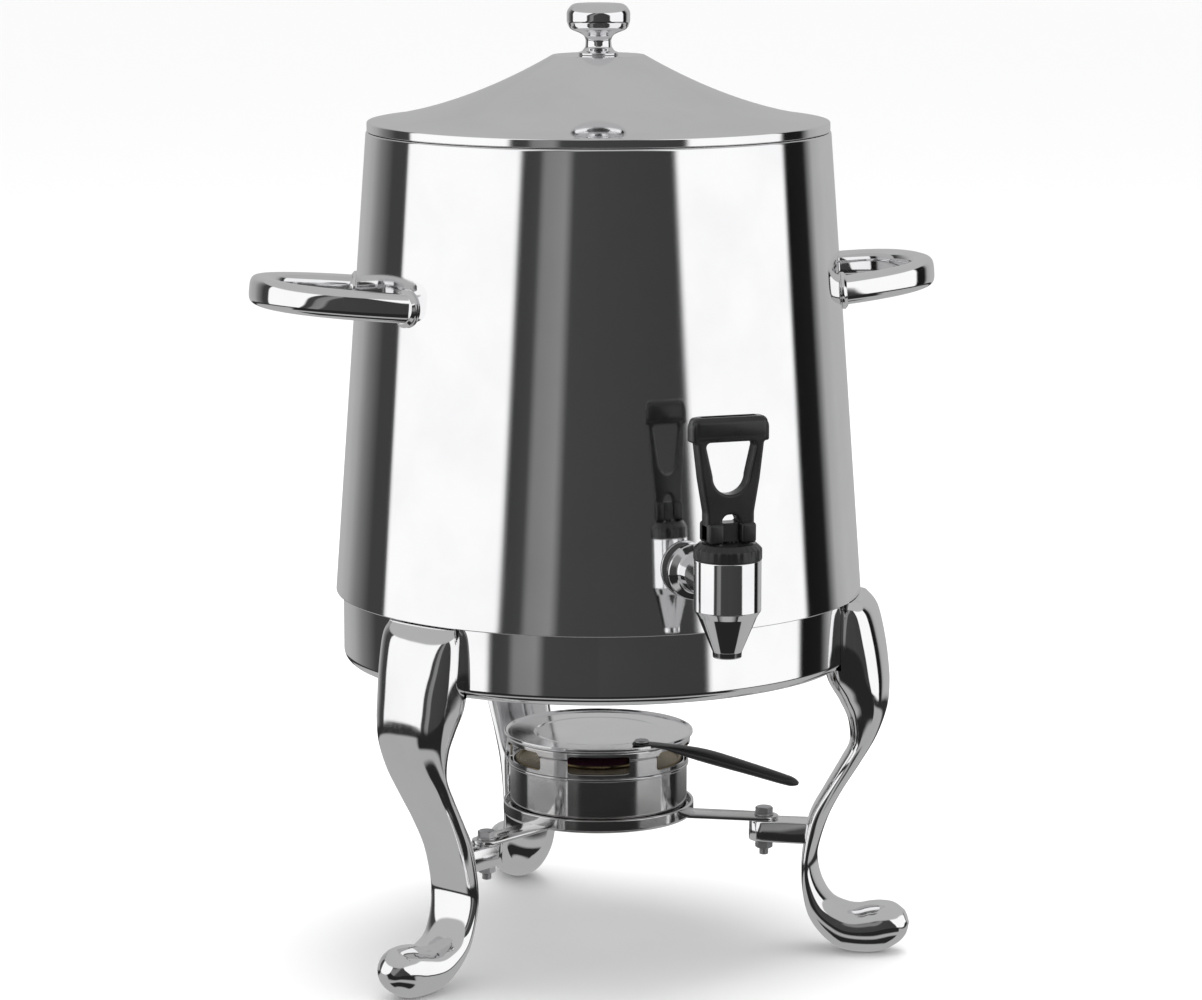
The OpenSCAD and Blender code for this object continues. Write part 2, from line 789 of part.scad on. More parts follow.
module tap_lever() {
    depth = 9;
    base_half = 7.5;
    slot_half = 4.3;
    slot_top_z = lever_pin_z + 8;
    color("#1c1c1c")
        translate([0, -tap_reach, 0])
            difference() {
                union() {
                    rotate([90, 0, 0])
                        translate([0, 0, -depth / 2])
                            linear_extrude(depth) lever_outline();
                    translate([-12, -base_half, bonnet_top_z + gap]) cube([24, 2 * base_half, 10]);
                }
                translate([-slot_half, -20, bonnet_top_z - 1])
                    cube([2 * slot_half, 40, slot_top_z - bonnet_top_z + 1]);
                translate([-20, 0, lever_pin_z])
                    rotate([0, 90, 0])
                        cylinder(r = pin_r + 0.02, h = 40);
            }
}

module tap_pin() {
    color("silver")
        translate([-11.5, -tap_reach, lever_pin_z])
            rotate([0, 90, 0])
                cylinder(r = pin_r, h = 23);
}

// ---- lid ----

module lid_shell() {
    cone = [for (i = [0 : lid_steps])
        let (t = i / lid_steps)
        [lid_cone_r + (lid_flat_r - lid_cone_r) * t, lid_cone_z + lid_rise * lid_share(t)]];
    under = [for (i = [lid_steps : -1 : 0]) cone[i] - [0, sheet * 1.05]];
    color("silver")
        difference() {
            rotate_extrude()
                polygon(concat(
                    [[lid_band_r - sheet, lid_z], [lid_band_r, lid_z], [lid_band_r, lid_cone_z - 1]],
                    [[lid_band_r - 0.7, lid_cone_z - 0.25]],
                    cone,
                    [[lid_flat_r - 1.2, lid_flat_z + 0.8], [0, lid_flat_z + 0.8]],
                    [[0, lid_flat_z - 0.2], [lid_flat_r - 1, lid_flat_z - 0.2]],
                    under,
                    [[lid_band_r - sheet, lid_cone_z - 1.4]]
                ));
            translate([0, 0, lid_flat_z - 5]) cylinder(r = bolt_r + 0.2, h = 10);
        }
}

module lid_plug_ring() {
    plug_r = mouth_r - 0.5;
    color("silver") ring(plug_r, plug_r - sheet, shell_top_z - 11, lid_cone_z - 0.3);
}

module lid_knob() {
    foot_z = lid_flat_z + 0.85;
    top_z = foot_z + knob_h;
    color("silver")
        difference() {
            rotate_extrude()
                polygon([
                    [0, foot_z], [10.2, foot_z], [10.2, foot_z + 1.1], [8.2, foot_z + 1.9],
                    [6.9, foot_z + 3.8], [6.6, top_z - 20], [7.1, top_z - 17.8], [9.6, top_z - 15.8],
                    [knob_r - 3.2, top_z - 14], [knob_r - 0.9, top_z - 12], [knob_r, top_z - 9.4],
                    [knob_r, top_z - 4.9], [knob_r - 0.7, top_z - 2.8], [knob_r - 2.7, top_z - 1.2],
                    [knob_r - 6.2, top_z - 0.3], [0, top_z]
                ]);
            translate([0, 0, foot_z - past]) cylinder(r = bolt_r + pin_fit, h = 12);
        }
}

module lid_knob_screw() {
    head_z = lid_flat_z - 0.2 - 1.1;
    color("gainsboro") {
        translate([0, 0, head_z - 3]) cylinder(r = 4.5, h = 3);
        translate([0, 0, head_z]) cylinder(r = bolt_r, h = 12.5);
    }
}

module lid_knob_washer() {
    color("silver") ring(6, bolt_r + 0.1, lid_flat_z - 1.3, lid_flat_z - 0.25);
}

water_pan();
leg(leg_angles[0]);  // leg_front_left
leg(leg_angles[1]);  // leg_front_right
leg(leg_angles[2]);  // leg_rear
leg_screws();
leg_sealing_washers();
burner_frame();
frame_bolts();
frame_nuts();
frame_washers();
burner_cup();
burner_top_ring();
fuel_tin();
fuel_gel();
damper_cover();
damper_handle();
damper_rivet();
urn_shell();
urn_bottom();
handle_left();
handle_right();
handle_rosettes();
handle_screws();
handle_washers();
tap_body();
tap_gasket_outer();
tap_gasket_inner();
tap_nut();
tap_bonnet();
tap_spring();
tap_stem();
tap_seat_cup();
tap_lever();
tap_pin();
lid_shell();
lid_plug_ring();
lid_knob();
lid_knob_screw();
lid_knob_washer();
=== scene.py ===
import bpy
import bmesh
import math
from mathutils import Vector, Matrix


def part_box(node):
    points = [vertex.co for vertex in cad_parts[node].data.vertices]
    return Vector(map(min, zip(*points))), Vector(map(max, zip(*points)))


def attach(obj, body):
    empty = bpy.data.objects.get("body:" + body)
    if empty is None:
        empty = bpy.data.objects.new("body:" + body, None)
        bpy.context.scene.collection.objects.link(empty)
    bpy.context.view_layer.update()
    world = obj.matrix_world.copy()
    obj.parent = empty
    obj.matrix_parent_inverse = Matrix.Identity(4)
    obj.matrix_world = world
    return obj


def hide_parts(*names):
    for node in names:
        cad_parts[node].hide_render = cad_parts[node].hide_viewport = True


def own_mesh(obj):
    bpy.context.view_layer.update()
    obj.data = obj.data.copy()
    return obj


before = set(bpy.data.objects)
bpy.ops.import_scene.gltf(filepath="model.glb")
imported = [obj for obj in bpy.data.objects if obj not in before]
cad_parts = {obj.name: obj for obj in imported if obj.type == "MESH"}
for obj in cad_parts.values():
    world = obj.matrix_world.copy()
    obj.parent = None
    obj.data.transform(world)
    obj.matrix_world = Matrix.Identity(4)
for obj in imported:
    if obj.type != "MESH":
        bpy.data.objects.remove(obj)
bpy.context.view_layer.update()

# %% [markdown]
# # A coffee urn on three legs
# A polished steel urn stands in a shallow hot-water pan on three curved legs. A fuel burner sits below,
# a lever tap in front, and a hollow-cone lid on top. The engineering model is already loaded as a fixed
# frame. This lesson rebuilds what the eye sees around it: the same sizes and places, finer shapes, and
# finishes with polish marks, grain and mould texture.

MM = 0.001

# %% [markdown]
# ## Reading the driving sizes
# Everything on the urn turns about one upright axis, so a handful of radii and heights drive all of it.
# They could be typed in, but then a change to the design would leave the looks behind. They are read
# from the frame's own boxes instead and kept in millimetres, the unit a metal spinner would use.


# %% Driving sizes, in millimetres
def low(node):
    return [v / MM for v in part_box(node)[0]]


def high(node):
    return [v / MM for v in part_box(node)[1]]


SHEET = 1.0
SHELL_LOW_Z, SHELL_HIGH_Z = low("urn_shell")[2], high("urn_shell")[2]
SHELL_LOW_R = high("urn_shell")[0]
LID_R, LID_Z = high("lid_shell")[0], low("lid_shell")[2]
SHELL_HIGH_R = LID_R + 0.5
MOUTH_R = high("lid_plug_ring")[0] + 0.5
PAN_R, PAN_Z, PAN_RIM_Z = high("water_pan")[0], low("water_pan")[2], high("water_pan")[2]
CUP_Z, CUP_RIM_Z = low("burner_cup")[2], high("burner_cup")[2]
CUP_R = high("burner_cup")[0] - 0.9
RING_TOP_Z = high("burner_top_ring")[2]
COVER_Z, COVER_R = low("damper_cover")[2], high("damper_cover")[0]
TRAY_Z = low("burner_frame")[2]
LEG_TOP_Z = high("leg_rear")[2]
LEG_ANGLES = {"leg_front_left": -60.0, "leg_front_right": 60.0, "leg_rear": 180.0}
LUG_R, LUG_TOP_Z = low("leg_rear")[1] + 8.0, TRAY_Z
HANDLE_Z = (low("handle_rosettes")[2] + high("handle_rosettes")[2]) / 2
BAR_HALF_T, BAR_HALF_H = 6.0, 7.3
HANDLE_REACH = high("handle_right")[0]
HANDLE_ARM_Y = high("handle_right")[1] - BAR_HALF_T
TAP_Y = (low("tap_bonnet")[1] + high("tap_bonnet")[1]) / 2
TAP_R = high("tap_body")[0]
SPOUT_Z, TAP_TOP_Z = low("tap_body")[2], high("tap_body")[2]
SHANK_Z = (low("tap_nut")[2] + high("tap_nut")[2]) / 2
BONNET_TOP_Z = high("tap_bonnet")[2]
LEVER_LOW_Z, LEVER_TOP_Z = low("tap_lever")[2], high("tap_lever")[2]
PIN_Z = (low("tap_pin")[2] + high("tap_pin")[2]) / 2


def shell_r(z):
    share = (z - SHELL_LOW_Z) / (SHELL_HIGH_Z - SHELL_LOW_Z)
    return SHELL_LOW_R + (SHELL_HIGH_R - SHELL_LOW_R) * share


print("shell radius at the handles:", round(shell_r(HANDLE_Z), 1), "mm; tap axis at y", round(TAP_Y, 1))

# %% [markdown]
# ## Polish marks, grain and smudges as shared node groups
# Hand polishing never leaves a perfect mirror. It leaves very fine scratches that run one way, and broad
# shallow waves that make a reflected edge tremble. Every metal finish here shares that effect, so it is built
# once as a node group with its own inputs, and each material sets its own amounts. The group only gives
# out masks and a height: the shader itself stays in each material.


# %% A small helper for node graphs
def node(tree, kind, at=(0, 0), **values):
    made = tree.nodes.new(kind)
    made.location = at
    for key, value in values.items():
        if key.startswith("in_"):
            made.inputs[key[3:].replace("_", " ")].default_value = value
        else:
            setattr(made, key, value)
    return made


def feed(tree, socket, value):
    """Gives a socket a link from another node's socket, or a plain number or colour."""
    if isinstance(value, bpy.types.NodeSocket):
        tree.links.new(value, socket)
    else:
        socket.default_value = value


def math_node(tree, at, operation, *values):
    """A Math node fed with numbers or sockets; gives back its output."""
    made = node(tree, "ShaderNodeMath", at, operation=operation)
    for socket, value in zip(made.inputs, values):
        feed(tree, socket, value)
    return made.outputs[0]


def mixed(tree, at, factor, one, two):
    """A mix of two colours, each a socket or plain red, green and blue; gives back its output."""
    made = node(tree, "ShaderNodeMix", at, data_type="RGBA")
    feed(tree, made.inputs["Factor"], factor)
    for side, value in (("A", one), ("B", two)):
        feed(tree, made.inputs[side], value if isinstance(value, bpy.types.NodeSocket) else (*value, 1))
    return made.outputs["Result"]


def new_group(name, inputs, outputs):
    tree = bpy.data.node_groups.new(name, "ShaderNodeTree")
    for label, kind, value in inputs:
        socket = tree.interface.new_socket(label, in_out="INPUT", socket_type=kind)
        if value is not None:
            socket.default_value = value
    for label, kind in outputs:
        tree.interface.new_socket(label, in_out="OUTPUT", socket_type=kind)
    return tree, node(tree, "NodeGroupInput", (-900, 0)), node(tree, "NodeGroupOutput", (700, 0))


# %% Polish marks: fine one-way scratches and broad waves
def build_polish_marks():
    tree, given, out = new_group(
        "polish_marks",
        [
            ("Scratch Scale", "NodeSocketFloat", 900.0),
            ("Stretch", "NodeSocketVector", (1.0, 1.0, 14.0)),
            ("Wave Scale", "NodeSocketFloat", 9.0),
            ("Wave Amount", "NodeSocketFloat", 1.0),
        ],
        [("Scratches", "NodeSocketFloat"), ("Height", "NodeSocketFloat"), ("Cloud", "NodeSocketFloat")],
    )
    link = tree.links.new
    where = node(tree, "ShaderNodeTexCoord", (-1100, 200))
    stretched = node(tree, "ShaderNodeVectorMath", (-700, 200), operation="MULTIPLY")
    link(where.outputs["Object"], stretched.inputs[0])
    link(given.outputs["Stretch"], stretched.inputs[1])
    scratches = node(tree, "ShaderNodeTexNoise", (-480, 220), in_Detail=5.0, in_Roughness=0.6)
    link(stretched.outputs[0], scratches.inputs["Vector"])
    link(given.outputs["Scratch Scale"], scratches.inputs["Scale"])
    waves = node(tree, "ShaderNodeTexNoise", (-480, -60), in_Detail=1.0, in_Roughness=0.4)
    link(where.outputs["Object"], waves.inputs["Vector"])
    link(given.outputs["Wave Scale"], waves.inputs["Scale"])
    cloud = node(tree, "ShaderNodeTexNoise", (-480, -320), in_Scale=26.0, in_Detail=4.0)
    link(where.outputs["Object"], cloud.inputs["Vector"])
    wave_part = math_node(tree, (-200, -60), "MULTIPLY", waves.outputs["Fac"], given.outputs["Wave Amount"])
    scratch_part = math_node(tree, (-200, 200), "MULTIPLY", scratches.outputs["Fac"], 0.02)
    height = math_node(tree, (40, 40), "ADD", wave_part, scratch_part)
    soft_cloud = node(tree, "ShaderNodeMapRange", (-200, -320), in_From_Min=0.38, in_From_Max=0.66)
    link(cloud.outputs["Fac"], soft_cloud.inputs["Value"])
    link(scratches.outputs["Fac"], out.inputs["Scratches"])
    link(height, out.inputs["Height"])
    link(soft_cloud.outputs["Result"], out.inputs["Cloud"])
    return tree


# %% Fine grain: the skin of a moulding or a rubber seal
def build_fine_grain():
    tree, given, out = new_group(
        "fine_grain",
        [("Grain Scale", "NodeSocketFloat", 1400.0), ("Patch Scale", "NodeSocketFloat", 60.0)],
        [("Grain", "NodeSocketFloat"), ("Patch", "NodeSocketFloat")],
    )
    link = tree.links.new
    where = node(tree, "ShaderNodeTexCoord", (-1100, 0))
    grain = node(tree, "ShaderNodeTexNoise", (-400, 120), in_Detail=3.0, in_Roughness=0.65)
    patch = node(tree, "ShaderNodeTexNoise", (-400, -160), in_Detail=2.0)
    for made, label in ((grain, "Grain Scale"), (patch, "Patch Scale")):
        link(where.outputs["Object"], made.inputs["Vector"])
        link(given.outputs[label], made.inputs["Scale"])
    link(grain.outputs["Fac"], out.inputs["Grain"])
    link(patch.outputs["Fac"], out.inputs["Patch"])
    return tree


POLISH_MARKS = build_polish_marks()
FINE_GRAIN = build_fine_grain()
print("node groups:", [g.name for g in bpy.data.node_groups])

# %% [markdown]
# ## Finishes
# Metal is told apart by what it does to a reflection. Mirror-polished sheet keeps it almost whole; a
# polished casting keeps it but bends it softly; satin steel smears it along the grain. Base colour only
# shifts a little, so most of the work is in roughness and in a very shallow bump.


# %% Helpers that both kinds of finish share
def started(name, group, **settings):
    """A new material with a shared effect placed in it and set."""
    material = bpy.data.materials.new(name)
    material.use_nodes = True
    tree = material.node_tree
    marks = node(tree, "ShaderNodeGroup", (-800, 0), node_tree=group)
    for label, value in settings.items():
        marks.inputs[label.replace("_", " ")].default_value = value
    return material, tree, tree.nodes["Principled BSDF"], marks


def dulled(tree, mask, mask_high, least, most):
    """Roughness from least to most as the mask goes from 0.3 to its high value."""
    made = node(tree, "ShaderNodeMapRange", (-560, -40), in_From_Min=0.3, in_From_Max=mask_high,
                in_To_Min=least, in_To_Max=most)
    tree.links.new(mask, made.inputs["Value"])
    return made.outputs["Result"]


def bumped(tree, shader, height, strength, distance):
    relief = node(tree, "ShaderNodeBump", (-260, -420), in_Strength=strength, in_Distance=distance)
    tree.links.new(height, relief.inputs["Height"])
    tree.links.new(relief.outputs["Normal"], shader.inputs["Normal"])


# %% Helper: a metal finish on the shared polish marks
def metal(name, colour, cloud_colour, rough, scratch, stretch, wave, bump, scratch_scale=900.0,
          wave_scale=9.0):
    material, tree, shader, marks = started(
        name, POLISH_MARKS, Scratch_Scale=scratch_scale, Stretch=stretch, Wave_Scale=wave_scale,
        Wave_Amount=wave,
    )
    shader.inputs["Metallic"].default_value = 1.0
    cloud = marks.outputs["Cloud"]
    feed(tree, shader.inputs["Base Color"], mixed(tree, (-400, 220), cloud, colour, cloud_colour))
    dull = dulled(tree, marks.outputs["Scratches"], 0.75, rough, rough + scratch)
    smudged = math_node(tree, (-400, -200), "MULTIPLY_ADD", cloud, scratch * 0.6, dull)
    feed(tree, shader.inputs["Roughness"], smudged)
    bumped(tree, shader, marks.outputs["Height"], bump, 0.001)
    return material


# %% Helper: a plastic or rubber finish on the shared fine grain
def moulding(name, dark, light, rough, spread, bump, grain_scale=1400.0, coat=0.0):
    material, tree, shader, skin = started(name, FINE_GRAIN, Grain_Scale=grain_scale)
    shader.inputs["Coat Weight"].default_value = coat
    shader.inputs["Coat Roughness"].default_value = 0.12
    patch = skin.outputs["Patch"]
    feed(tree, shader.inputs["Base Color"], mixed(tree, (-400, 220), patch, dark, light))
    feed(tree, shader.inputs["Roughness"], dulled(tree, patch, 0.7, rough, rough + spread))
    bumped(tree, shader, skin.outputs["Grain"], bump, 0.0002)
    return material


# %% Mix the finishes
STEEL, STEEL_CLOUD = (0.93, 0.93, 0.935), (0.89, 0.89, 0.90)
AROUND = (1.0, 1.0, 16.0)
mirror_sheet = metal("mirror_sheet", STEEL, STEEL_CLOUD, 0.022, 0.035, AROUND, 0.30, 0.10)
polished_casting = metal(
    "polished_casting", (0.91, 0.91, 0.915), (0.86, 0.86, 0.87), 0.04, 0.05, (1, 1, 1), 0.4, 0.10, 500.0, 18.0
)
plated_brass = metal(
    "plated_brass", (0.92, 0.92, 0.93), (0.86, 0.86, 0.875), 0.03, 0.04, AROUND, 0.3, 0.10, 800.0, 30.0
)
# The burner's steel and the cover's steel are one steel. The burner's colour is darkened as painted shade
# under the pan, and the cover's is brightened as painted light on its top.
burner_steel_painted_shade = metal(
    "burner_steel_painted_shade", (0.74, 0.74, 0.75), (0.60, 0.59, 0.58), 0.045, 0.07, AROUND, 0.4, 0.16, 900.0, 40.0
)
cover_steel_painted_light = metal(
    "cover_steel_painted_light", (0.95, 0.95, 0.955), (0.91, 0.91, 0.92), 0.045, 0.07, AROUND, 0.4, 0.16, 900.0, 40.0
)
satin_steel = metal(
    "satin_steel", (0.66, 0.66, 0.67), (0.55, 0.55, 0.56), 0.26, 0.16, AROUND, 0.2, 0.30, 1200.0, 20.0
)
# The tin's gold lacquer colour is darkened as painted shade, for the shade inside the burner ring.
lacquered_tin = metal(
    "lacquered_tin", (0.34, 0.27, 0.15), (0.27, 0.21, 0.11), 0.24, 0.12, (1, 1, 1), 0.4, 0.2, 700.0, 30.0
)
black_resin = moulding(
    "black_resin", (0.006, 0.006, 0.0065), (0.013, 0.013, 0.014), 0.26, 0.14, 0.25, coat=0.15
)
seal_rubber = moulding("seal_rubber", (0.02, 0.02, 0.02), (0.06, 0.06, 0.06), 0.55, 0.2, 0.5, 900.0)
fuel_gel = moulding("fuel_gel", (0.40, 0.12, 0.28), (0.52, 0.20, 0.38), 0.08, 0.1, 0.2, 300.0, coat=0.6)
print("finishes:", [m.name for m in bpy.data.materials])

# %% [markdown]
# ## Turning, sweeping and rounding
# Spun and turned parts are one outline taken round an axis. The outline is given with sharp corners, and
# a helper rounds each one, because no sheet edge or casting corner is truly sharp and it is the rounding
# that catches the light. Just outside each rounding an extra point holds the flat next to it flat, so
# that a mirror finish doesn't show a false bend there.


# %% Rounded outlines
def rounded(points, radius, steps=4):
    """A closed outline in mm with its corners rounded; a point may carry a radius of its own."""
    done = []
    count = len(points)
    for i, corner in enumerate(points):
        here = Vector(corner[:2])
        own = corner[2] if len(corner) > 2 else radius
        before = Vector(points[i - 1][:2]) - here
        after = Vector(points[(i + 1) % count][:2]) - here
        on_axis = abs(here.x) < 1e-6 or before.length < 1e-6 or after.length < 1e-6
        opening = 0.0 if on_axis else before.angle(after)
        if own <= 0 or on_axis or opening > math.radians(177):
            done.append(tuple(here))
            continue
        reach = min(own / math.tan(opening / 2), 0.46 * before.length, 0.46 * after.length)
        start = here + before.normalized() * reach
        end = here + after.normalized() * reach
        inward = (before.normalized() + after.normalized()).normalized()
        size = reach * math.tan(opening / 2)
        centre = here + inward * (size / math.sin(opening / 2))
        spare = min(0.3, 0.04 * min(before.length, after.length))
        done.append(tuple(start + before.normalized() * spare))
        first, last = start - centre, end - centre
        begin = math.atan2(first.y, first.x)
        sweep = math.remainder(math.atan2(last.y, last.x) - begin, 2 * math.pi)
        for k in range(steps + 1):
            a = begin + sweep * k / steps
            done.append((centre.x + size * math.cos(a), centre.y + size * math.sin(a)))
        done.append(tuple(end + after.normalized() * spare))
    return done


# %% Turning an outline round an axis
FINE_ROUND = 288


def turned(bm, outline, segments=192, place=None, ripple=None):
    """Takes a closed (radius, height) outline in mm round +Z, then moves it by place."""
    place = place or Matrix.Identity(4)
    columns = []
    for r, z in outline:
        if abs(r) < 1e-6:
            columns.append([bm.verts.new(place @ Vector((0, 0, z * MM)))])
            continue
        column = []
        for k in range(segments):
            a = 2 * math.pi * k / segments
            wide = r + (ripple(a, r, z) if ripple else 0.0)
            point = Vector((wide * math.cos(a), wide * math.sin(a), z)) * MM
            column.append(bm.verts.new(place @ point))
        columns.append(column)
    for one, two in zip(columns, columns[1:] + columns[:1]):
        if len(one) == 1 and len(two) == 1:
            continue
        for k in range(segments):
            j = (k + 1) % segments
            corners = [one[k % len(one)], one[j % len(one)], two[j % len(two)], two[k % len(two)]]
            bm.faces.new(list(dict.fromkeys(corners)))


# %% Sweeping rings along a path
def bridged(bm, one, two):
    """Joins two loops of vertices, corner to corner."""
    count = len(one)
    for k in range(count):
        j = (k + 1) % count
        bm.faces.new([one[k], one[j], two[j], two[k]])


def capped(bm, loops):
    """Joins a row of vertex loops into one skin and closes both ends flat."""
    for one, two in zip(loops, loops[1:]):
        bridged(bm, one, two)
    bm.faces.new(list(reversed(loops[0])))
    bm.faces.new(loops[-1])


def skinned(bm, rings):
    """Joins rings of points, given in mm, into one skin with flat ends."""
    capped(bm, [[bm.verts.new(Vector(p) * MM) for p in ring] for ring in rings])


# %% Meshes, objects and cuts
def joined(bm, part):
    """Adds one mesh to another."""
    lump = bpy.data.meshes.new("lump")
    part.to_mesh(lump)
    part.free()
    bm.from_mesh(lump)
    bpy.data.meshes.remove(lump)


def object_from(name, bm):
    mesh = bpy.data.meshes.new(name)
    bm.to_mesh(mesh)
    bm.free()
    made = bpy.data.objects.new(name, mesh)
    bpy.context.scene.collection.objects.link(made)
    return made


def cut_away(body, cutter):
    """Takes the cutter's shape out of the body, then removes the cutter."""
    cut = body.modifiers.new("cut", "BOOLEAN")
    cut.operation, cut.object, cut.solver = "DIFFERENCE", cutter, "EXACT"
    graph = bpy.context.evaluated_depsgraph_get()
    mesh = bpy.data.meshes.new_from_object(body.evaluated_get(graph))
    body.modifiers.clear()
    body.data = mesh
    bpy.data.objects.remove(cutter)
    return body


# %% Handing a finished mesh over as a piece
made_pieces = []


def piece_from(name, bm, finish, body, stands_for=(), sharp=50):
    bmesh.ops.recalc_face_normals(bm, faces=bm.faces)
    return dressed(object_from(name, bm), finish, body, stands_for, sharp)


def dressed(made, finish, body, stands_for=(), sharp=50):
    mesh = made.data
    mesh.materials.clear()
    mesh.materials.append(finish)
    for face in mesh.polygons:
        face.use_smooth = True
    mesh.set_sharp_from_angle(angle=math.radians(sharp))
    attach(made, body)
    if stands_for:
        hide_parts(*stands_for)
    made_pieces.append(made)
    return made


def toward(angle):
    """Turns a shape drawn along +X so that it points at an angle from the front, -Y."""
    return Matrix.Rotation(math.radians(angle - 90), 4, "Z")


def at(x, y, z):
    return Matrix.Translation(Vector((x, y, z)) * MM)


# %% [markdown]
# ## The urn: spun shell and bottom
# The shell is one tapered drum of polished sheet with a ledge turned in at the top, where the lid sits,
# and a small hem at the lower edge. A drum could be a cylinder scaled at one end, but then the hem and
# the ledge would be missing, so it is turned from its true sheet outline, inside face and all.

# %% Urn shell and bottom
bm = bmesh.new()
turned(bm, rounded([
    (SHELL_LOW_R, SHELL_LOW_Z, 0.45), (SHELL_LOW_R - 0.15, SHELL_LOW_Z + 2.2, 0.4),
    (SHELL_HIGH_R, SHELL_HIGH_Z, 1.0), (MOUTH_R, SHELL_HIGH_Z, 0.4), (MOUTH_R, SHELL_HIGH_Z - SHEET, 0.4),
    (SHELL_HIGH_R - SHEET, SHELL_HIGH_Z - SHEET, 0.6), (SHELL_LOW_R - SHEET, SHELL_LOW_Z, 0.4),
], 0.4), FINE_ROUND)
piece_from("urn_drum", bm, mirror_sheet, "urn", ["urn_shell"])

bm = bmesh.new()
floor_z, floor_high_z = high("urn_bottom")[2] - SHEET, high("urn_bottom")[2]
flange_z = low("urn_bottom")[2]
turned(bm, rounded([
    (0, floor_z), (shell_r(floor_z) - SHEET - 0.95, floor_z), (shell_r(flange_z) - SHEET - 0.95, flange_z),
    (shell_r(flange_z) - SHEET - 0.05, flange_z), (shell_r(floor_high_z) - SHEET - 0.05, floor_high_z),
    (0, floor_high_z),
], 0.35), 192)
piece_from("urn_floor", bm, satin_steel, "urn", ["urn_bottom"])
print("urn drum and floor made")

# %% [markdown]
# ## The water pan
# Below the seam a shallow pan holds the hot water. It is pressed from one sheet: an upright wall, a small
# corner radius, a flat base, and a rim turned in to carry the urn.

# %% Water pan
bm = bmesh.new()
turned(bm, rounded([
    (0, PAN_Z), (PAN_R, PAN_Z, 5.0), (PAN_R, PAN_RIM_Z, 0.8), (PAN_R - 4.5, PAN_RIM_Z, 0.4),
    (PAN_R - 4.5, PAN_RIM_Z - SHEET, 0.4), (PAN_R - SHEET, PAN_RIM_Z - SHEET, 0.5),
    (PAN_R - SHEET, PAN_Z + SHEET, 4.0), (0, PAN_Z + SHEET),
], 0.4, 8), FINE_ROUND)
piece_from("hot_water_pan", bm, mirror_sheet, "stand", ["water_pan"])

# %% [markdown]
# ## The lid
# The lid is a hollow cone that sweeps up from a flat rim to a small flat top, with a short upright band
# all round. Straight lines would look like a funnel, so the rise follows a curve: part of it grows
# evenly and part with the square of the way in. A plug ring below keeps it centred in the mouth.

# %% Lid shell
band_h = 5.0
cone_z = LID_Z + band_h
cone_r = LID_R - 2.0
flat_r = 25.0
flat_z = high("lid_shell")[2] - 0.8
cone_steps = 40
straight_share = 0.39


def lid_rise(share):
    return straight_share * share + (1 - straight_share) * share * share


cone = []
for i in range(cone_steps + 1):
    t = i / cone_steps
    cone.append((cone_r + (flat_r - cone_r) * t, cone_z + (flat_z - cone_z) * lid_rise(t), 0))
under = [(point[0], point[1] - SHEET, 0) for point in reversed(cone)]
outline = (
    [(LID_R - SHEET, LID_Z, 0.35), (LID_R, LID_Z, 0.45), (LID_R, cone_z - 0.2, 1.1)]
    + cone + [(flat_r - 1.4, flat_z + 0.8, 1.0), (0, flat_z + 0.8)]
    + [(0, flat_z - 0.2), (flat_r - 1, flat_z - 0.2, 0)]
    + under + [(LID_R - SHEET, cone_z - 1.4, 0.5)]
)
bm = bmesh.new()
turned(bm, rounded(outline, 0.4), FINE_ROUND)
piece_from("lid_cone", bm, mirror_sheet, "lid", ["lid_shell"])

bm = bmesh.new()
ring_low_z, ring_high_z = low("lid_plug_ring")[2], high("lid_plug_ring")[2]
ring_r = high("lid_plug_ring")[0]
turned(bm, rounded([
    (ring_r - 1.2, ring_low_z), (ring_r - 0.2, ring_low_z), (ring_r, ring_high_z),
    (ring_r - SHEET, ring_high_z),
], 0.35), 192)
piece_from("lid_centring_ring", bm, satin_steel, "lid", ["lid_plug_ring"])

# %% [markdown]
# ## The knob
# A turned mushroom: a small foot, a hollowed neck and a thick domed cap. The dark and bright patches on
# it come only from its shape, so the curve under the cap is worth the extra points.

# %% Lid knob
foot_z, knob_top_z = low("lid_knob")[2], high("lid_knob")[2]
knob_r = high("lid_knob")[0]
knob_outline = [
    (0, foot_z), (10.4, foot_z, 0.4), (10.4, foot_z + 1.1, 0.5), (8.4, foot_z + 1.8, 1.2),
    (6.7, foot_z + 4, 3), (6.5, knob_top_z - 19, 4), (7.4, knob_top_z - 16.6, 3), (10, knob_top_z - 15.2, 5),
    (knob_r - 1.4, knob_top_z - 13.4, 4.5), (knob_r, knob_top_z - 9.4, 5), (knob_r, knob_top_z - 4.2, 4.6),
    (knob_r - 2.9, knob_top_z - 0.5, 6), (0, knob_top_z),
]
bm = bmesh.new()
turned(bm, rounded(knob_outline, 0.5, 8), 128)
piece_from("lid_knob_cap", bm, plated_brass, "lid", ["lid_knob"])
print("lid and knob made; knob radius", round(knob_r, 1))

# %% [markdown]
# ## The legs
# Each leg is a polished casting: a broad shield against the pan, a knee, a slim curved shin and a slipper
# foot. It could be sculpted, but a swept section is easier to keep true: stations down the leg give a
# point on the front, a point on the back and half the width, and a smooth curve runs through them. The
# section has bevelled corners at the shield and is nearly round at the foot.

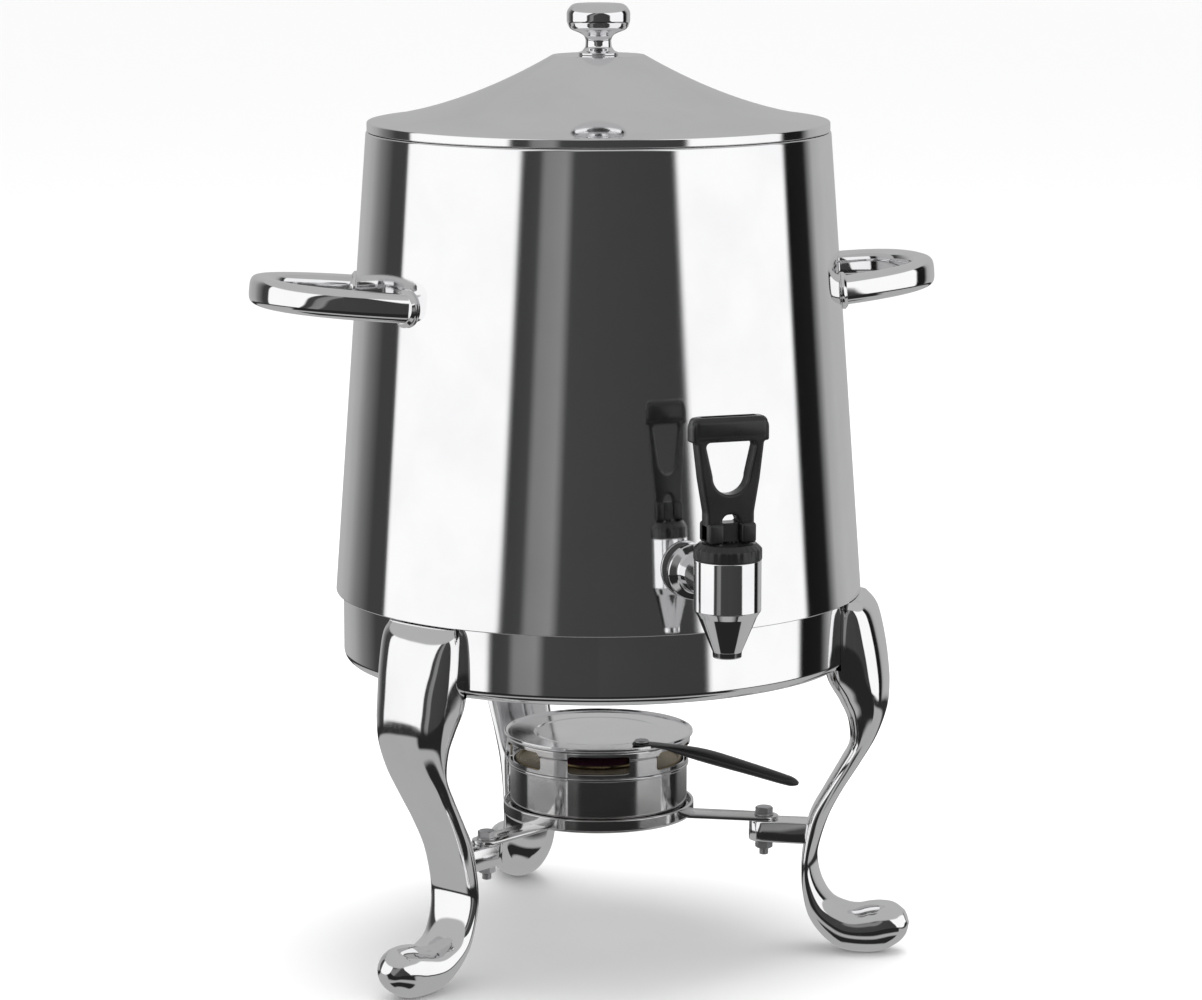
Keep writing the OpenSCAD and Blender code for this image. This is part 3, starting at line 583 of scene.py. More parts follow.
# %% Leg stations: front reach and height, back reach and height, half width, bevel and squareness
LEG_STATIONS = [
    (137, 193.4, 129, 192.8, 20, 1.6, 8), (139.6, 189.2, 126.8, 188, 22.2, 1.58, 8),
    (145.8, 182.4, 121.2, 181.4, 24.4, 1.55, 8), (149.8, 167.4, 118.2, 165, 25, 1.55, 8),
    (152, 152.5, 120.8, 147, 24, 1.55, 8), (152.6, 141, 127.6, 135, 22.5, 1.58, 7.5),
    (151.5, 129, 132.2, 125, 20.9, 1.65, 6), (146.4, 114.4, 132.8, 112.5, 19.3, 1.75, 4),
    (137.6, 99, 127.8, 102, 18, 2, 3.4), (128.6, 84.4, 119.7, 87.5, 16.9, 2.6, 3),
    (121.6, 70.4, 112.3, 73.1, 16.2, 4, 2.7), (116.7, 55, 109.2, 55.4, 15.9, 4, 2.6),
    (115.7, 46, 108.7, 42, 15.7, 4, 2.6), (118.6, 35.6, 109.3, 31, 15.1, 4, 2.5),
    (124.4, 28, 112.4, 17.5, 14.7, 4, 2.3), (132, 25.2, 120.6, 6.3, 14.4, 4, 2.2),
    (138, 24.8, 131.6, -0.1, 14, 4, 2.2), (144, 26.2, 148.2, -0.4, 12.9, 4, 2.2),
    (150.1, 26.8, 157.9, 4, 11.6, 4, 2.2), (156.3, 26, 162.9, 9.2, 8.8, 4, 2.2),
    (161.5, 22.7, 164.5, 15.3, 4, 4, 2.2),
]


def through(stations, s):
    """A point on the smooth curve through the stations, s counting stations."""
    last = len(stations) - 1
    i = min(int(s), last - 1)
    t = s - i
    a, b, c, d = (stations[max(0, min(last, i + k))] for k in (-1, 0, 1, 2))
    return [
        0.5 * (2 * q + (r - p) * t + (2 * p - 5 * q + 4 * r - w) * t * t + (3 * q - p - 3 * r + w) * t ** 3)
        for p, q, r, w in zip(a, b, c, d)
    ]


def squared(value, power):
    return math.copysign(abs(value) ** power, value)


def section_size(c, s, bevel, power):
    return (abs(c) ** power + abs(s) ** power + ((abs(c) + abs(s)) / bevel) ** power) ** (1 / power)


# %% One leg
def leg_rings(steps=8, sides=96):
    rings = []
    for i in range(steps * (len(LEG_STATIONS) - 1) + 1):
        front_x, front_z, back_x, back_z, wide, bevel, power = through(LEG_STATIONS, i / steps)
        front, back = Vector((front_x, 0, front_z)), Vector((back_x, 0, back_z))
        middle, half = (front + back) / 2, (front - back) / 2
        full = section_size(1, 0, bevel, power)
        ring = []
        for k in range(sides):
            c, n = math.cos(2 * math.pi * k / sides), math.sin(2 * math.pi * k / sides)
            size = section_size(c, n, bevel, power) / full
            ring.append(middle + half * (n / size) + Vector((0, wide * c / size, 0)))
        rings.append(ring)
    return rings


def cut_level(bm, z, keep_below):
    """Cuts the mesh at a height and closes the cut with a flat face."""
    normal = (0, 0, 1) if keep_below else (0, 0, -1)
    done = bmesh.ops.bisect_plane(
        bm, geom=bm.verts[:] + bm.edges[:] + bm.faces[:], plane_co=(0, 0, z * MM), plane_no=normal,
        clear_outer=True, dist=1e-7,
    )
    edges = [g for g in done["geom_cut"] if isinstance(g, bmesh.types.BMEdge)]
    bmesh.ops.contextual_create(bm, geom=edges)


def make_leg(name, angle):
    bm = bmesh.new()
    skinned(bm, leg_rings())
    bmesh.ops.recalc_face_normals(bm, faces=bm.faces)
    cut_level(bm, LEG_TOP_Z, True)
    cut_level(bm, 0.0, False)
    leg = object_from(name, bm)
    seat = bmesh.new()
    turned(seat, [(0, PAN_Z), (PAN_R + 0.1, PAN_Z), (PAN_R + 0.1, PAN_Z + 80), (0, PAN_Z + 80)], FINE_ROUND)
    bmesh.ops.recalc_face_normals(seat, faces=seat.faces)
    cut_away(leg, object_from("seat_cutter", seat))
    lug = bmesh.new()
    lug.from_mesh(leg.data)
    add_lug(lug)
    lug.transform(toward(angle))
    lug.to_mesh(leg.data)
    lug.free()
    return dressed(leg, polished_casting, "stand", [name.replace("casting_", "leg_")], 38)


# %% The lug that carries the burner frame
def slab(bm, outline, z0, z1, edge=0.6, place=None):
    """A flat bar or block: an (x, y) outline in mm between two heights, with its edges rolled."""
    place = place or Matrix.Identity(4)
    middle = sum((Vector(p[:2]) for p in outline), Vector((0, 0))) / len(outline)
    levels = [(z0, edge), (z0 + 0.3 * edge, 0.3 * edge), (z0 + edge, 0), (z1 - edge, 0),
              (z1 - 0.3 * edge, 0.3 * edge), (z1, edge)]
    loops = []
    for z, inset in levels:
        loop = []
        for p in outline:
            way = Vector(p[:2]) - middle
            q = Vector(p[:2]) - way.normalized() * inset
            loop.append(bm.verts.new(place @ Vector((q.x * MM, q.y * MM, z * MM))))
        loops.append(loop)
    capped(bm, loops)


def bar_outline(x0, x1, half, steps=12):
    """The plan of a flat bar along X with a half-round end at x1."""
    turns = [math.pi * k / steps for k in range(steps + 1)]
    return [(x1 + half * math.sin(a), -half * math.cos(a)) for a in turns] + [(x0, half), (x0, -half)]


def add_lug(bm):
    lug_h, lug_length, lug_half = 11.0, 27.0, 8.0
    plan = [(2 * LUG_R - x, y) for x, y in bar_outline(LUG_R - lug_length, LUG_R, lug_half)]
    slab(bm, plan, LUG_TOP_Z - lug_h, LUG_TOP_Z - 0.02, 0.8)
    bmesh.ops.recalc_face_normals(bm, faces=bm.faces)


for node_name, leg_angle in LEG_ANGLES.items():
    leg = make_leg(node_name.replace("leg_", "casting_"), leg_angle)
    print(leg.name, "has", len(leg.data.polygons), "faces")

# %% [markdown]
# ## The carrying handles
# Each handle is a flattened bar bent into one even loop that rises a little as it leaves the drum, with a
# small rosette at each foot. A bevelled curve would do, but its ends would stop square in the air, so the
# bar is swept by hand and its first and last rings are pushed onto the tapered drum.

# %% Handle bars
HANDLE_TILT = math.radians(5.4)
LOOP_SQUARENESS, BAR_SQUARENESS, BAR_BEVEL = 2.4, 3.6, 4
ROOT_X = math.sqrt(shell_r(HANDLE_Z) ** 2 - HANDLE_ARM_Y ** 2)


def loop_point(t):
    """A point of the bar's centre line, from -90 degrees at one foot to 90 at the other."""
    power = 2 / LOOP_SQUARENESS
    x = ROOT_X + (HANDLE_REACH - BAR_HALF_T - ROOT_X) * squared(math.cos(t), power)
    rise = (x - ROOT_X) * math.tan(HANDLE_TILT)
    return Vector((x, HANDLE_ARM_Y * squared(math.sin(t), power), HANDLE_Z + rise))


def make_handle(name, side, steps=72, sides=72):
    path = [loop_point(math.radians(-90 + 180 * i / steps)) for i in range(steps + 1)]
    up = Vector((-math.sin(HANDLE_TILT), 0, math.cos(HANDLE_TILT)))
    full = section_size(1, 0, BAR_BEVEL, BAR_SQUARENESS)
    rings = []
    for i, here in enumerate(path):
        way = (path[min(steps, i + 1)] - path[max(0, i - 1)]).normalized()
        out = way.cross(up)
        ring = []
        for k in range(sides):
            a = 2 * math.pi * k / sides
            size = section_size(math.cos(a), math.sin(a), BAR_BEVEL, BAR_SQUARENESS) / full
            point = here + (BAR_HALF_T * math.cos(a) * out + BAR_HALF_H * math.sin(a) * up) / size
            if i in (0, steps):
                point.x = math.sqrt((shell_r(point.z) + 1.0) ** 2 - point.y ** 2)
            ring.append((point.x * side, point.y * side, point.z))
        rings.append(ring)
    bm = bmesh.new()
    skinned(bm, rings)
    return piece_from(name, bm, mirror_sheet, "urn", ["handle_" + name.split("_")[-1]])


make_handle("carry_bar_right", 1)
make_handle("carry_bar_left", -1)

# %% Rosettes that hug the drum
ROSETTE_R, ROSETTE_T = 9.5, 3.0
arm_turn = math.degrees(math.asin(HANDLE_ARM_Y / (shell_r(HANDLE_Z) + ROSETTE_T / 2)))


def on_drum(angle, z, across, up, out):
    """A point laid on the drum: across and up are along its surface, out is square to it."""
    r = shell_r(z + up) + out
    a = math.radians(angle - 90) + across / shell_r(z)
    return Vector((r * math.cos(a), r * math.sin(a), z + up)) * MM


bm = bmesh.new()
dish = rounded([
    (0, 0.05), (ROSETTE_R, 0.05, 0.3), (ROSETTE_R, 1.5, 0.7), (7.6, ROSETTE_T, 1.0), (0, ROSETTE_T),
], 0.4, 5)
for side in (-90, 90):
    for from_side in (-arm_turn, arm_turn):
        disc = bmesh.new()
        turned(disc, dish, 64)
        for v in disc.verts:
            x, y, z = v.co / MM
            v.co = on_drum(side + from_side, HANDLE_Z, x, y, z)
        joined(bm, disc)
piece_from("handle_foot_rosettes", bm, mirror_sheet, "urn", ["handle_rosettes"])
print("handles and rosettes made")

# %% [markdown]
# ## The tap
# A plated brass body hangs from a threaded shank. Its barrel narrows through a cone to the spout, and a
# black cap closes the top. The barrel is turned about the upright axis and the shank about its own level
# axis. The cap has shallow flutes, which a hand needs to unscrew it.

# %% Tap body
LAY_BACK = Matrix.Rotation(math.radians(-90), 4, "X")
bm = bmesh.new()
barrel_low_z, chamber_z = SPOUT_Z + 22.0, SPOUT_Z + 26.0
bore_r, chamber_r = 4.4, 11.5
turned(bm, rounded([
    (bore_r, SPOUT_Z, 0.3), (6.9, SPOUT_Z, 0.6), (7.1, SPOUT_Z + 3.0, 1.0),
    (TAP_R - 2.0, barrel_low_z - 2.0, 1.2), (TAP_R, barrel_low_z + 1.2, 0.9), (TAP_R, TAP_TOP_Z, 0.5),
    (chamber_r, TAP_TOP_Z, 0.3), (chamber_r, chamber_z, 0.5), (bore_r, chamber_z, 0.5),
], 0.5), 128, at(0, TAP_Y, 0))
shank_place = at(0, TAP_Y, SHANK_Z) @ LAY_BACK
neck_r, flange_r, shank_r, way_r = 9.6, 14.0, 8.0, 5.4
flange_at = -TAP_Y - 141.5
flange_end, shank_end = flange_at + 3.2, high("tap_body")[1] - TAP_Y
turned(bm, rounded([
    (way_r, 12.0), (neck_r, 12.0, 0.3), (neck_r, flange_at - 2.6, 2.0), (flange_r, flange_at - 0.4, 0.8),
    (flange_r, flange_end, 0.5), (shank_r, flange_end, 0.3), (shank_r, shank_end, 0.6),
    (way_r, shank_end, 0.3),
], 0.4), 96, shank_place)
piece_from("tap_barrel", bm, plated_brass, "urn", ["tap_body"])

# %% Fluted bonnet
bm = bmesh.new()
flutes = 28


def flute(a, r, z):
    on_side = r > TAP_R - 0.6 and TAP_TOP_Z + 0.8 < z < BONNET_TOP_Z - 1.8
    return -0.32 * (0.5 + 0.5 * math.cos(flutes * a)) if on_side else 0.0


bonnet_r = high("tap_bonnet")[0]
turned(bm, rounded([
    (8, low("tap_bonnet")[2], 0.3), (11.4, low("tap_bonnet")[2], 0.3), (11.4, TAP_TOP_Z + 0.05, 0.2),
    (bonnet_r, TAP_TOP_Z + 0.05, 0.5), (bonnet_r, BONNET_TOP_Z - 2.6, 1.2), (TAP_R - 2.6, BONNET_TOP_Z, 1.0),
    (2.8, BONNET_TOP_Z, 0.3), (2.8, BONNET_TOP_Z - 3, 0.3), (8, BONNET_TOP_Z - 3, 0.4),
], 0.4), 224, at(0, TAP_Y, 0), flute)
piece_from("tap_cap", bm, black_resin, "urn", ["tap_bonnet"])

# %% [markdown]
# ## The stirrup lever
# The lever is one moulding: a forked stem over the pin, two splayed sides, a rounded window and a
# cross bar for the finger. A filled curve could make it, but it gives no say in how the edge rolls over,
# so its outline and its window are stepped inwards together, level by level, and the two flats are filled.


# %% A flat moulding with rolled edges
def moved_in(loop, amount):
    """A closed (x, y) loop moved to its left by an amount, in mm."""
    moved = []
    for i, corner in enumerate(loop):
        here, before, after = Vector(corner), Vector(loop[i - 1]), Vector(loop[(i + 1) % len(loop)])
        one, two = (here - before).normalized(), (after - here).normalized()
        left = Vector((-one.y, one.x))
        middle = (left + Vector((-two.y, two.x))).normalized()
        moved.append(here + middle * (amount / max(0.5, middle.dot(left))))
    return moved


def wound(loop, solid_inside):
    """The loop, turned so that the solid lies on its left."""
    twice_area = sum(p[0] * q[1] - q[0] * p[1] for p, q in zip(loop, loop[1:] + loop[:1]))
    return loop if (twice_area > 0) == solid_inside else loop[::-1]


def flat_moulding(bm, outer, window, depth, edge, place, steps=6):
    """A plate with one window, its outline and the window both rolled over an edge radius."""
    half = depth / 2
    levels = [(edge + 0.2, half)]
    for k in range(steps + 1):
        a = math.radians(90 * k / steps)
        levels.append((edge * (1 - math.sin(a)), half - edge * (1 - math.cos(a))))
    levels += [(inset, -z) for inset, z in reversed(levels)]
    first_edges, last_edges = [], []
    for loop in (wound(outer, True), wound(window, False)):
        rings = []
        for inset, z in levels:
            rings.append([bm.verts.new(place @ (Vector((p.x, p.y, z)) * MM)) for p in moved_in(loop, inset)])
        for one, two in zip(rings, rings[1:]):
            bridged(bm, one, two)
        count = len(loop)
        for ring, edges in ((rings[0], first_edges), (rings[-1], last_edges)):
            edges += [bm.edges.get((ring[k], ring[(k + 1) % count])) for k in range(count)]
    for edges in (first_edges, last_edges):
        bmesh.ops.triangle_fill(bm, use_beauty=True, edges=edges)


def add_block(bm, lo, hi, edge):
    """A box between two corners, in mm, with rolled edges."""
    cube = bmesh.new()
    bmesh.ops.create_cube(cube, size=1.0)
    for v in cube.verts:
        v.co = Vector([a + (c + 0.5) * (b - a) for a, b, c in zip(lo, hi, v.co)]) * MM
    bmesh.ops.bevel(cube, geom=cube.edges[:], offset=edge * MM, segments=4, profile=0.5, affect="EDGES")
    joined(bm, cube)


# %% The stirrup
bar_r, bar_half = 6.0, 13.5
bar_z = LEVER_TOP_Z - bar_r
fork_z, fork_in, fork_out = PIN_Z + 8.0, 4.3, 12.0
window_z, window_r = bar_z - 22.2, 9.2
right_side = [
    (fork_in, LEVER_LOW_Z, 1.4), (fork_out, LEVER_LOW_Z, 1.6), (fork_out, LEVER_LOW_Z + 14.7, 8),
    (14.8, bar_z - 24, 10), (17, bar_z - bar_r, 1.5), (bar_half + bar_r, bar_z - bar_r, 5.6),
    (bar_half + bar_r, bar_z + bar_r, 5.6),
]
left_side = [(-p[0], *p[1:]) for p in reversed(right_side)]
stirrup = rounded(right_side + left_side + [(-fork_in, fork_z, 3.6), (fork_in, fork_z, 3.6)], 1.0, 8)
window_foot = [(window_r * math.cos(a), window_z + window_r * math.sin(a), 0) for a in
               [math.radians(-9 * k) for k in range(21)]]
window = rounded([(13, bar_z - bar_r, 2.2)] + window_foot + [(-13, bar_z - bar_r, 2.2)], 2.0, 8)
upright = at(0, TAP_Y, 0) @ Matrix.Rotation(math.radians(90), 4, "X")
bm = bmesh.new()
flat_moulding(bm, stirrup, window, 9.0, 1.3, upright)
grip_x, grip_y = bar_half + 5.6, 5.4
add_block(bm, (-grip_x, TAP_Y - grip_y, bar_z - bar_r + 0.2), (grip_x, TAP_Y + grip_y, bar_z + bar_r), 3.2)
for left, right in ((-fork_out, -fork_in), (fork_in, fork_out)):
    add_block(bm, (left, TAP_Y - 7.5, LEVER_LOW_Z), (right, TAP_Y + 7.5, LEVER_LOW_Z + 10), 1.6)
piece_from("tap_stirrup", bm, black_resin, "lever", ["tap_lever"])
print("tap body, cap and stirrup made")

# %% [markdown]
# ## The tap's return spring
# A coil of round wire pushes the seat cup down. When the lever lifts the stem the coil gets shorter.

# %% Return spring
spring_low_z, spring_high_z = low("tap_spring")[2], high("tap_spring")[2]
wire_r = 0.6
coil_r = (high("tap_spring")[0] - low("tap_spring")[0]) / 2 - wire_r
turns, per_turn = 6, 40
rings = []
for i in range(turns * per_turn + 1):
    a = 2 * math.pi * i / per_turn
    z = spring_low_z + wire_r + (spring_high_z - spring_low_z - 2 * wire_r) * i / (turns * per_turn)
    rings.append([
        ((coil_r + wire_r * math.cos(b)) * math.cos(a), TAP_Y + (coil_r + wire_r * math.cos(b)) * math.sin(a),
         z + wire_r * math.sin(b)) for b in [2 * math.pi * k / 12 for k in range(12)]
    ])
bm = bmesh.new()
skinned(bm, rings)
spring = piece_from("tap_coil", bm, satin_steel, "urn", ["tap_spring"])
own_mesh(spring)

# %% [markdown]
# ## The burner
# A pressed cup stands in the tray, with a fuel tin inside. A ring sits on the cup: a short wall with air
# windows, and a flat top with a round mouth. The windows are cut with a boolean, since they pass through a
# curved wall, and everything else is turned.

# %% Burner cup, fuel tin and gel
bm = bmesh.new()
turned(bm, rounded([
    (0, CUP_Z), (CUP_R, CUP_Z, 3.2), (CUP_R, CUP_RIM_Z - 1.5, 0.3), (CUP_R + 0.9, CUP_RIM_Z - 1.5, 0.5),
    (CUP_R + 0.9, CUP_RIM_Z, 0.5), (CUP_R - SHEET, CUP_RIM_Z, 0.3), (CUP_R - SHEET, CUP_Z + SHEET, 2.6),
    (0, CUP_Z + SHEET),
], 0.4, 6), 160)
piece_from("burner_pot", bm, burner_steel_painted_shade, "burner", ["burner_cup"])

tin_r, tin_z, tin_top_z = high("fuel_tin")[0], low("fuel_tin")[2], high("fuel_tin")[2]
bm = bmesh.new()
turned(bm, rounded([
    (0, tin_z + 0.6), (tin_r - 3.0, tin_z + 0.6, 0.4), (tin_r - 2.2, tin_z, 0.4), (tin_r - 1.2, tin_z, 0.5),
    (tin_r, tin_z + 1.2, 0.6), (tin_r, tin_z + 2.8, 0.6), (tin_r - 0.5, tin_z + 3.6, 0.5),
    (tin_r - 0.5, tin_top_z - 3.4, 0.5),
    (tin_r, tin_top_z - 2.6, 0.5), (tin_r, tin_top_z, 0.7), (tin_r - 1.4, tin_top_z, 0.6),
    (tin_r - 2.4, tin_top_z - 1.2, 0.6), (25.2, tin_top_z - 1.2, 0.6), (24.6, tin_top_z, 0.5),
    (24, tin_top_z, 0.3), (24, tin_top_z - 2.4, 0.3), (tin_r - 1.2, tin_top_z - 2.4, 0.5),
    (tin_r - 1.2, tin_z + 1.9, 0.5),
    (tin_r - 2.0, tin_z + 1.2, 0.5), (0, tin_z + 1.2),
], 0.4), 128)
piece_from("tin_of_fuel", bm, lacquered_tin, "burner", ["fuel_tin"])

gel_r, gel_z, gel_top_z = high("fuel_gel")[0], low("fuel_gel")[2], high("fuel_gel")[2]
bm = bmesh.new()
turned(bm, rounded([
    (0, gel_z), (gel_r - 1.2, gel_z, 0.6), (gel_r, gel_z + 1.2, 0.5), (gel_r, gel_top_z, 0.4),
    (gel_r - 3, gel_top_z - 0.8, 2.0), (0, gel_top_z - 0.9),
], 0.5), 96)
piece_from("alcohol_gel", bm, fuel_gel, "burner", ["fuel_gel"])


# %% Burner ring with its air windows
def cut_with(name, body_bm, cutter_bm):
    """One mesh cut by another; gives back the object, not yet dressed."""
    for bm in (body_bm, cutter_bm):
        bmesh.ops.recalc_face_normals(bm, faces=bm.faces)
    return cut_away(object_from(name, body_bm), object_from(name + "_cutter", cutter_bm))


ring_bm = bmesh.new()
wall_in, flame_r = CUP_R - 1.2, 28
turned(ring_bm, rounded([
    (wall_in - 0.8, CUP_RIM_Z - 6, 0.3), (wall_in, CUP_RIM_Z - 6, 0.3), (wall_in, CUP_RIM_Z + 0.05, 0.2),
    (CUP_R + 0.4, CUP_RIM_Z + 0.05, 0.3), (CUP_R + 0.4, CUP_RIM_Z + 9, 0.4),
    (CUP_R + 1.6, CUP_RIM_Z + 10, 0.5),
    (CUP_R + 1.6, RING_TOP_Z, 0.6), (flame_r, RING_TOP_Z, 0.4), (flame_r, RING_TOP_Z - SHEET, 0.4),
    (CUP_R - 0.8, RING_TOP_Z - SHEET, 0.5), (CUP_R - 0.8, CUP_RIM_Z + 1, 0.4),
    (wall_in - 0.8, CUP_RIM_Z + 1, 0.4),
], 0.3), 192)
windows = bmesh.new()
window_low_z, window_h, window_half = CUP_RIM_Z + 2.0, 9.8, 16.0
window_count, first_window = 6, -19.5
plan = rounded([
    (-window_half, 0, 2), (window_half, 0, 2), (window_half, window_h, 2), (-window_half, window_h, 2),
], 2, 6)
for k in range(window_count):
    place = toward(first_window + k * 360 / window_count)
    ends = []
    for x in (CUP_R - 6, CUP_R + 6):
        ends.append([windows.verts.new(place @ (Vector((x, y, window_low_z + z)) * MM)) for y, z in plan])
    windows.faces.new(list(reversed(ends[0])))
    windows.faces.new(ends[1])
    bridged(windows, *ends)
ring = cut_with("burner_collar", ring_bm, windows)
dressed(ring, burner_steel_painted_shade, "burner", ["burner_top_ring"], 35)

# %% [markdown]
# ## The swinging cover
# A flat lid with a turned-up edge covers the flame. One rivet near its edge is its hinge, and a black
# tapered handle points away from the heat. The handle leaves over the edge and drops a little, and it is
# swept like the legs, from a flat strap to a rounded grip.

# %% Cover, rivet and handle
rivet_low, rivet_high = low("damper_rivet"), high("damper_rivet")
RIVET = ((rivet_low[0] + rivet_high[0]) / 2, (rivet_low[1] + rivet_high[1]) / 2)
bm = bmesh.new()
turned(bm, rounded([
    (0, COVER_Z), (COVER_R - 0.8, COVER_Z, 0.8), (COVER_R, COVER_Z + 1.0, 0.4), (COVER_R, COVER_Z + 2.4, 0.4),
    (COVER_R - 0.9, COVER_Z + 2.4, 0.4), (COVER_R - 1.8, COVER_Z + 1.2, 0.8), (34, COVER_Z + 1.2, 1.0),
    (32, COVER_Z + 0.95, 1.0), (0, COVER_Z + 0.95),
], 0.4), 192)
rivet_turn, grip_from_rivet = 13.5, 34.6
at_rivet = at(RIVET[0], RIVET[1], 0)
along_grip = at_rivet @ toward(rivet_turn + grip_from_rivet)
notch = bmesh.new()
add_block(notch, (-2, -4.9, COVER_Z + 1.25), (20, 4.9, COVER_Z + 6), 0.4)
notch.transform(along_grip)
cover = cut_with("swinging_cover", bm, notch)
dressed(cover, cover_steel_painted_light, "damper", ["damper_cover"], 35)

bm = bmesh.new()
turned(bm, rounded([
    (0, rivet_low[2]), (4, rivet_low[2], 0.6), (4, rivet_low[2] + 1.3, 0.3), (2.5, rivet_low[2] + 1.3, 0.2),
    (2.5, COVER_Z + 3.0, 0.2), (4.2, COVER_Z + 3.0, 0.4), (3.4, rivet_high[2], 0.9), (0, rivet_high[2] + 0.3),
], 0.3, 6), 64, at_rivet)
piece_from("cover_rivet", bm, satin_steel, "damper", ["damper_rivet"])

strap_z = COVER_Z + 2.1
grip = [
    (-4.4, 0, 0.8, 2.2, 2.6), (-3.2, 0, 0.8, 4.0, 3.4), (0, 0, 0.8, 4.5, 4.0), (9, 0, 0.8, 4.2, 4.0),
    (14.5, -0.3, 1.1, 4.2, 3.0), (22, -1.3, 2.2, 5.0, 2.4), (37, -3.5, 3.2, 6.0, 2.2),
    (60, -7.9, 2.9, 5.2, 2.2),
    (76, -11.2, 2.6, 4.6, 2.1), (82.5, -12.5, 2.2, 3.8, 2.1), (85.6, -13.1, 1.0, 1.7, 2.0),
]
rings = []
for i in range((len(grip) - 1) * 8 + 1):
    x, z, thick, wide, square = through(grip, i / 8)
    rings.append([
        (x, wide * squared(math.cos(b), 2 / square), strap_z + z + thick * squared(math.sin(b), 2 / square))
        for b in [2 * math.pi * k / 40 for k in range(40)]
    ])
bm = bmesh.new()
skinned(bm, rings)
bm.transform(along_grip)
piece_from("cover_grip", bm, black_resin, "damper", ["damper_handle"])
print("burner made; rivet at", [round(v, 1) for v in RIVET])

# %% [markdown]
# ## The burner frame and its bolts
# Three flat bars join a shallow tray to the lugs on the legs. A bolt, a washer and a nut hold each one.
# Bolt heads are hexagons with their corners turned off at an angle, and the shank shows its thread as
# fine grooves, so those are modelled too.

# %% Tray and bars
bm = bmesh.new()
tray_r, tray_hole_r = 50.0, 18
tray_floor_z = TRAY_Z + 2.0
turned(bm, rounded([
    (tray_hole_r, TRAY_Z, 0.4), (tray_r, TRAY_Z, 1.6), (tray_r, tray_floor_z + 5, 0.6),
    (tray_r - 1.5, tray_floor_z + 5, 0.6), (tray_r - 1.5, tray_floor_z, 1.2),
    (tray_hole_r, tray_floor_z, 0.4),
], 0.5), 160)
for angle in LEG_ANGLES.values():
    slab(bm, bar_outline(tray_r - 4, LUG_R, 7.5), TRAY_Z + 0.02, tray_floor_z - 0.02, 0.35, toward(angle))
piece_from("burner_cradle", bm, burner_steel_painted_shade, "stand", ["burner_frame"], 38)


# %% Bolts, nuts and washers
def add_hexagon(bm, flats, z0, z1, place, chamfer_low=False):
    """A hexagon with its corners turned off, as on a bolt head or a nut."""
    corner = flats / 2 / math.cos(math.radians(30))
    sides = 96
    drop = (corner - flats / 2) * 0.58

    def edge_r(a):
        return flats / 2 / math.cos((a % math.radians(60)) - math.radians(30))

    low_loop, high_loop, flat_low, flat_high = [], [], [], []
    for k in range(sides):
        a = 2 * math.pi * k / sides
        r = edge_r(a)
        over = (r - flats / 2) / (corner - flats / 2)
        c, s = math.cos(a), math.sin(a)
        top = z1 - drop * over - 0.15
        base = z0 + drop * over + 0.15 if chamfer_low else z0
        low_loop.append(bm.verts.new(place @ (Vector((r * c, r * s, base)) * MM)))
        high_loop.append(bm.verts.new(place @ (Vector((r * c, r * s, top)) * MM)))
        rim = flats / 2 * 0.94
        flat_high.append(bm.verts.new(place @ (Vector((rim * c, rim * s, z1)) * MM)))
        flat_low.append(bm.verts.new(place @ (Vector((rim * c, rim * s, z0)) * MM)))
    capped(bm, [flat_low, low_loop, high_loop, flat_high])


def thread_outline(r, z0, z1, pitch=0.8, depth=0.35):
    points = [(0, z0), (r - depth, z0)]
    z = z0
    while z + pitch < z1:
        points += [(r - depth, z + 0.1), (r, z + pitch * 0.5), (r - depth, z + pitch * 0.9)]
        z += pitch
    return points + [(r, z1), (0, z1)]


ACROSS_FLATS, BOLT_R = 8.0, 2.5
bolts, nuts, washers = bmesh.new(), bmesh.new(), bmesh.new()
nut_low_z, nut_high_z = low("frame_nuts")[2], high("frame_nuts")[2]
for angle in LEG_ANGLES.values():
    spot = toward(angle) @ at(LUG_R, 0, 0)
    turned(bolts, thread_outline(BOLT_R, low("frame_bolts")[2], tray_floor_z + 1.2), 32, spot)
    add_hexagon(bolts, ACROSS_FLATS, tray_floor_z + 1.02, high("frame_bolts")[2], spot)
    add_hexagon(nuts, ACROSS_FLATS, nut_low_z, nut_high_z, spot, True)
    turned(washers, rounded([(2.65, tray_floor_z), (5, tray_floor_z, 0.3), (5, tray_floor_z + 1, 0.35),
                             (2.65, tray_floor_z + 1)], 0.2), 48, spot)
piece_from("cradle_bolts", bolts, satin_steel, "stand", ["frame_bolts"], 30)
piece_from("cradle_nuts", nuts, satin_steel, "stand", ["frame_nuts"], 30)
piece_from("cradle_washers", washers, satin_steel, "stand", ["frame_washers"], 30)

# %% [markdown]
# ## Carried-over parts
# Screws, gaskets and the valve stem are already the right shape in the frame. They keep their meshes and
# only get their finish.

# %% Finishes on the carried-over parts
CARRIED = {
    satin_steel: ["leg_screws", "handle_screws", "handle_washers", "tap_nut", "tap_pin", "lid_knob_screw",
                  "lid_knob_washer"],
    black_resin: ["tap_stem"],
    seal_rubber: ["leg_sealing_washers", "tap_gasket_outer", "tap_gasket_inner", "tap_seat_cup"],
}
for finish, names in CARRIED.items():
    for name in names:
        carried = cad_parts[name]
        for slot_index in range(max(1, len(carried.material_slots))):
            if carried.material_slots:
                carried.material_slots[slot_index].material = finish
            else:
                carried.data.materials.append(finish)
print("carried over:", sum(len(names) for names in CARRIED.values()), "parts")

# %% [markdown]
# ## Studio
# Polished metal shows nothing but its surroundings, so the studio is half of the finish. The urn stands on
# a plain pale floor. Around it is a light tent: white walls left and right, a dark gap where the camera
# looks in, dark seams towards the back, and grey above and below. The tent is written as the sky, by
# compass direction, because flat cards would show up in other views.

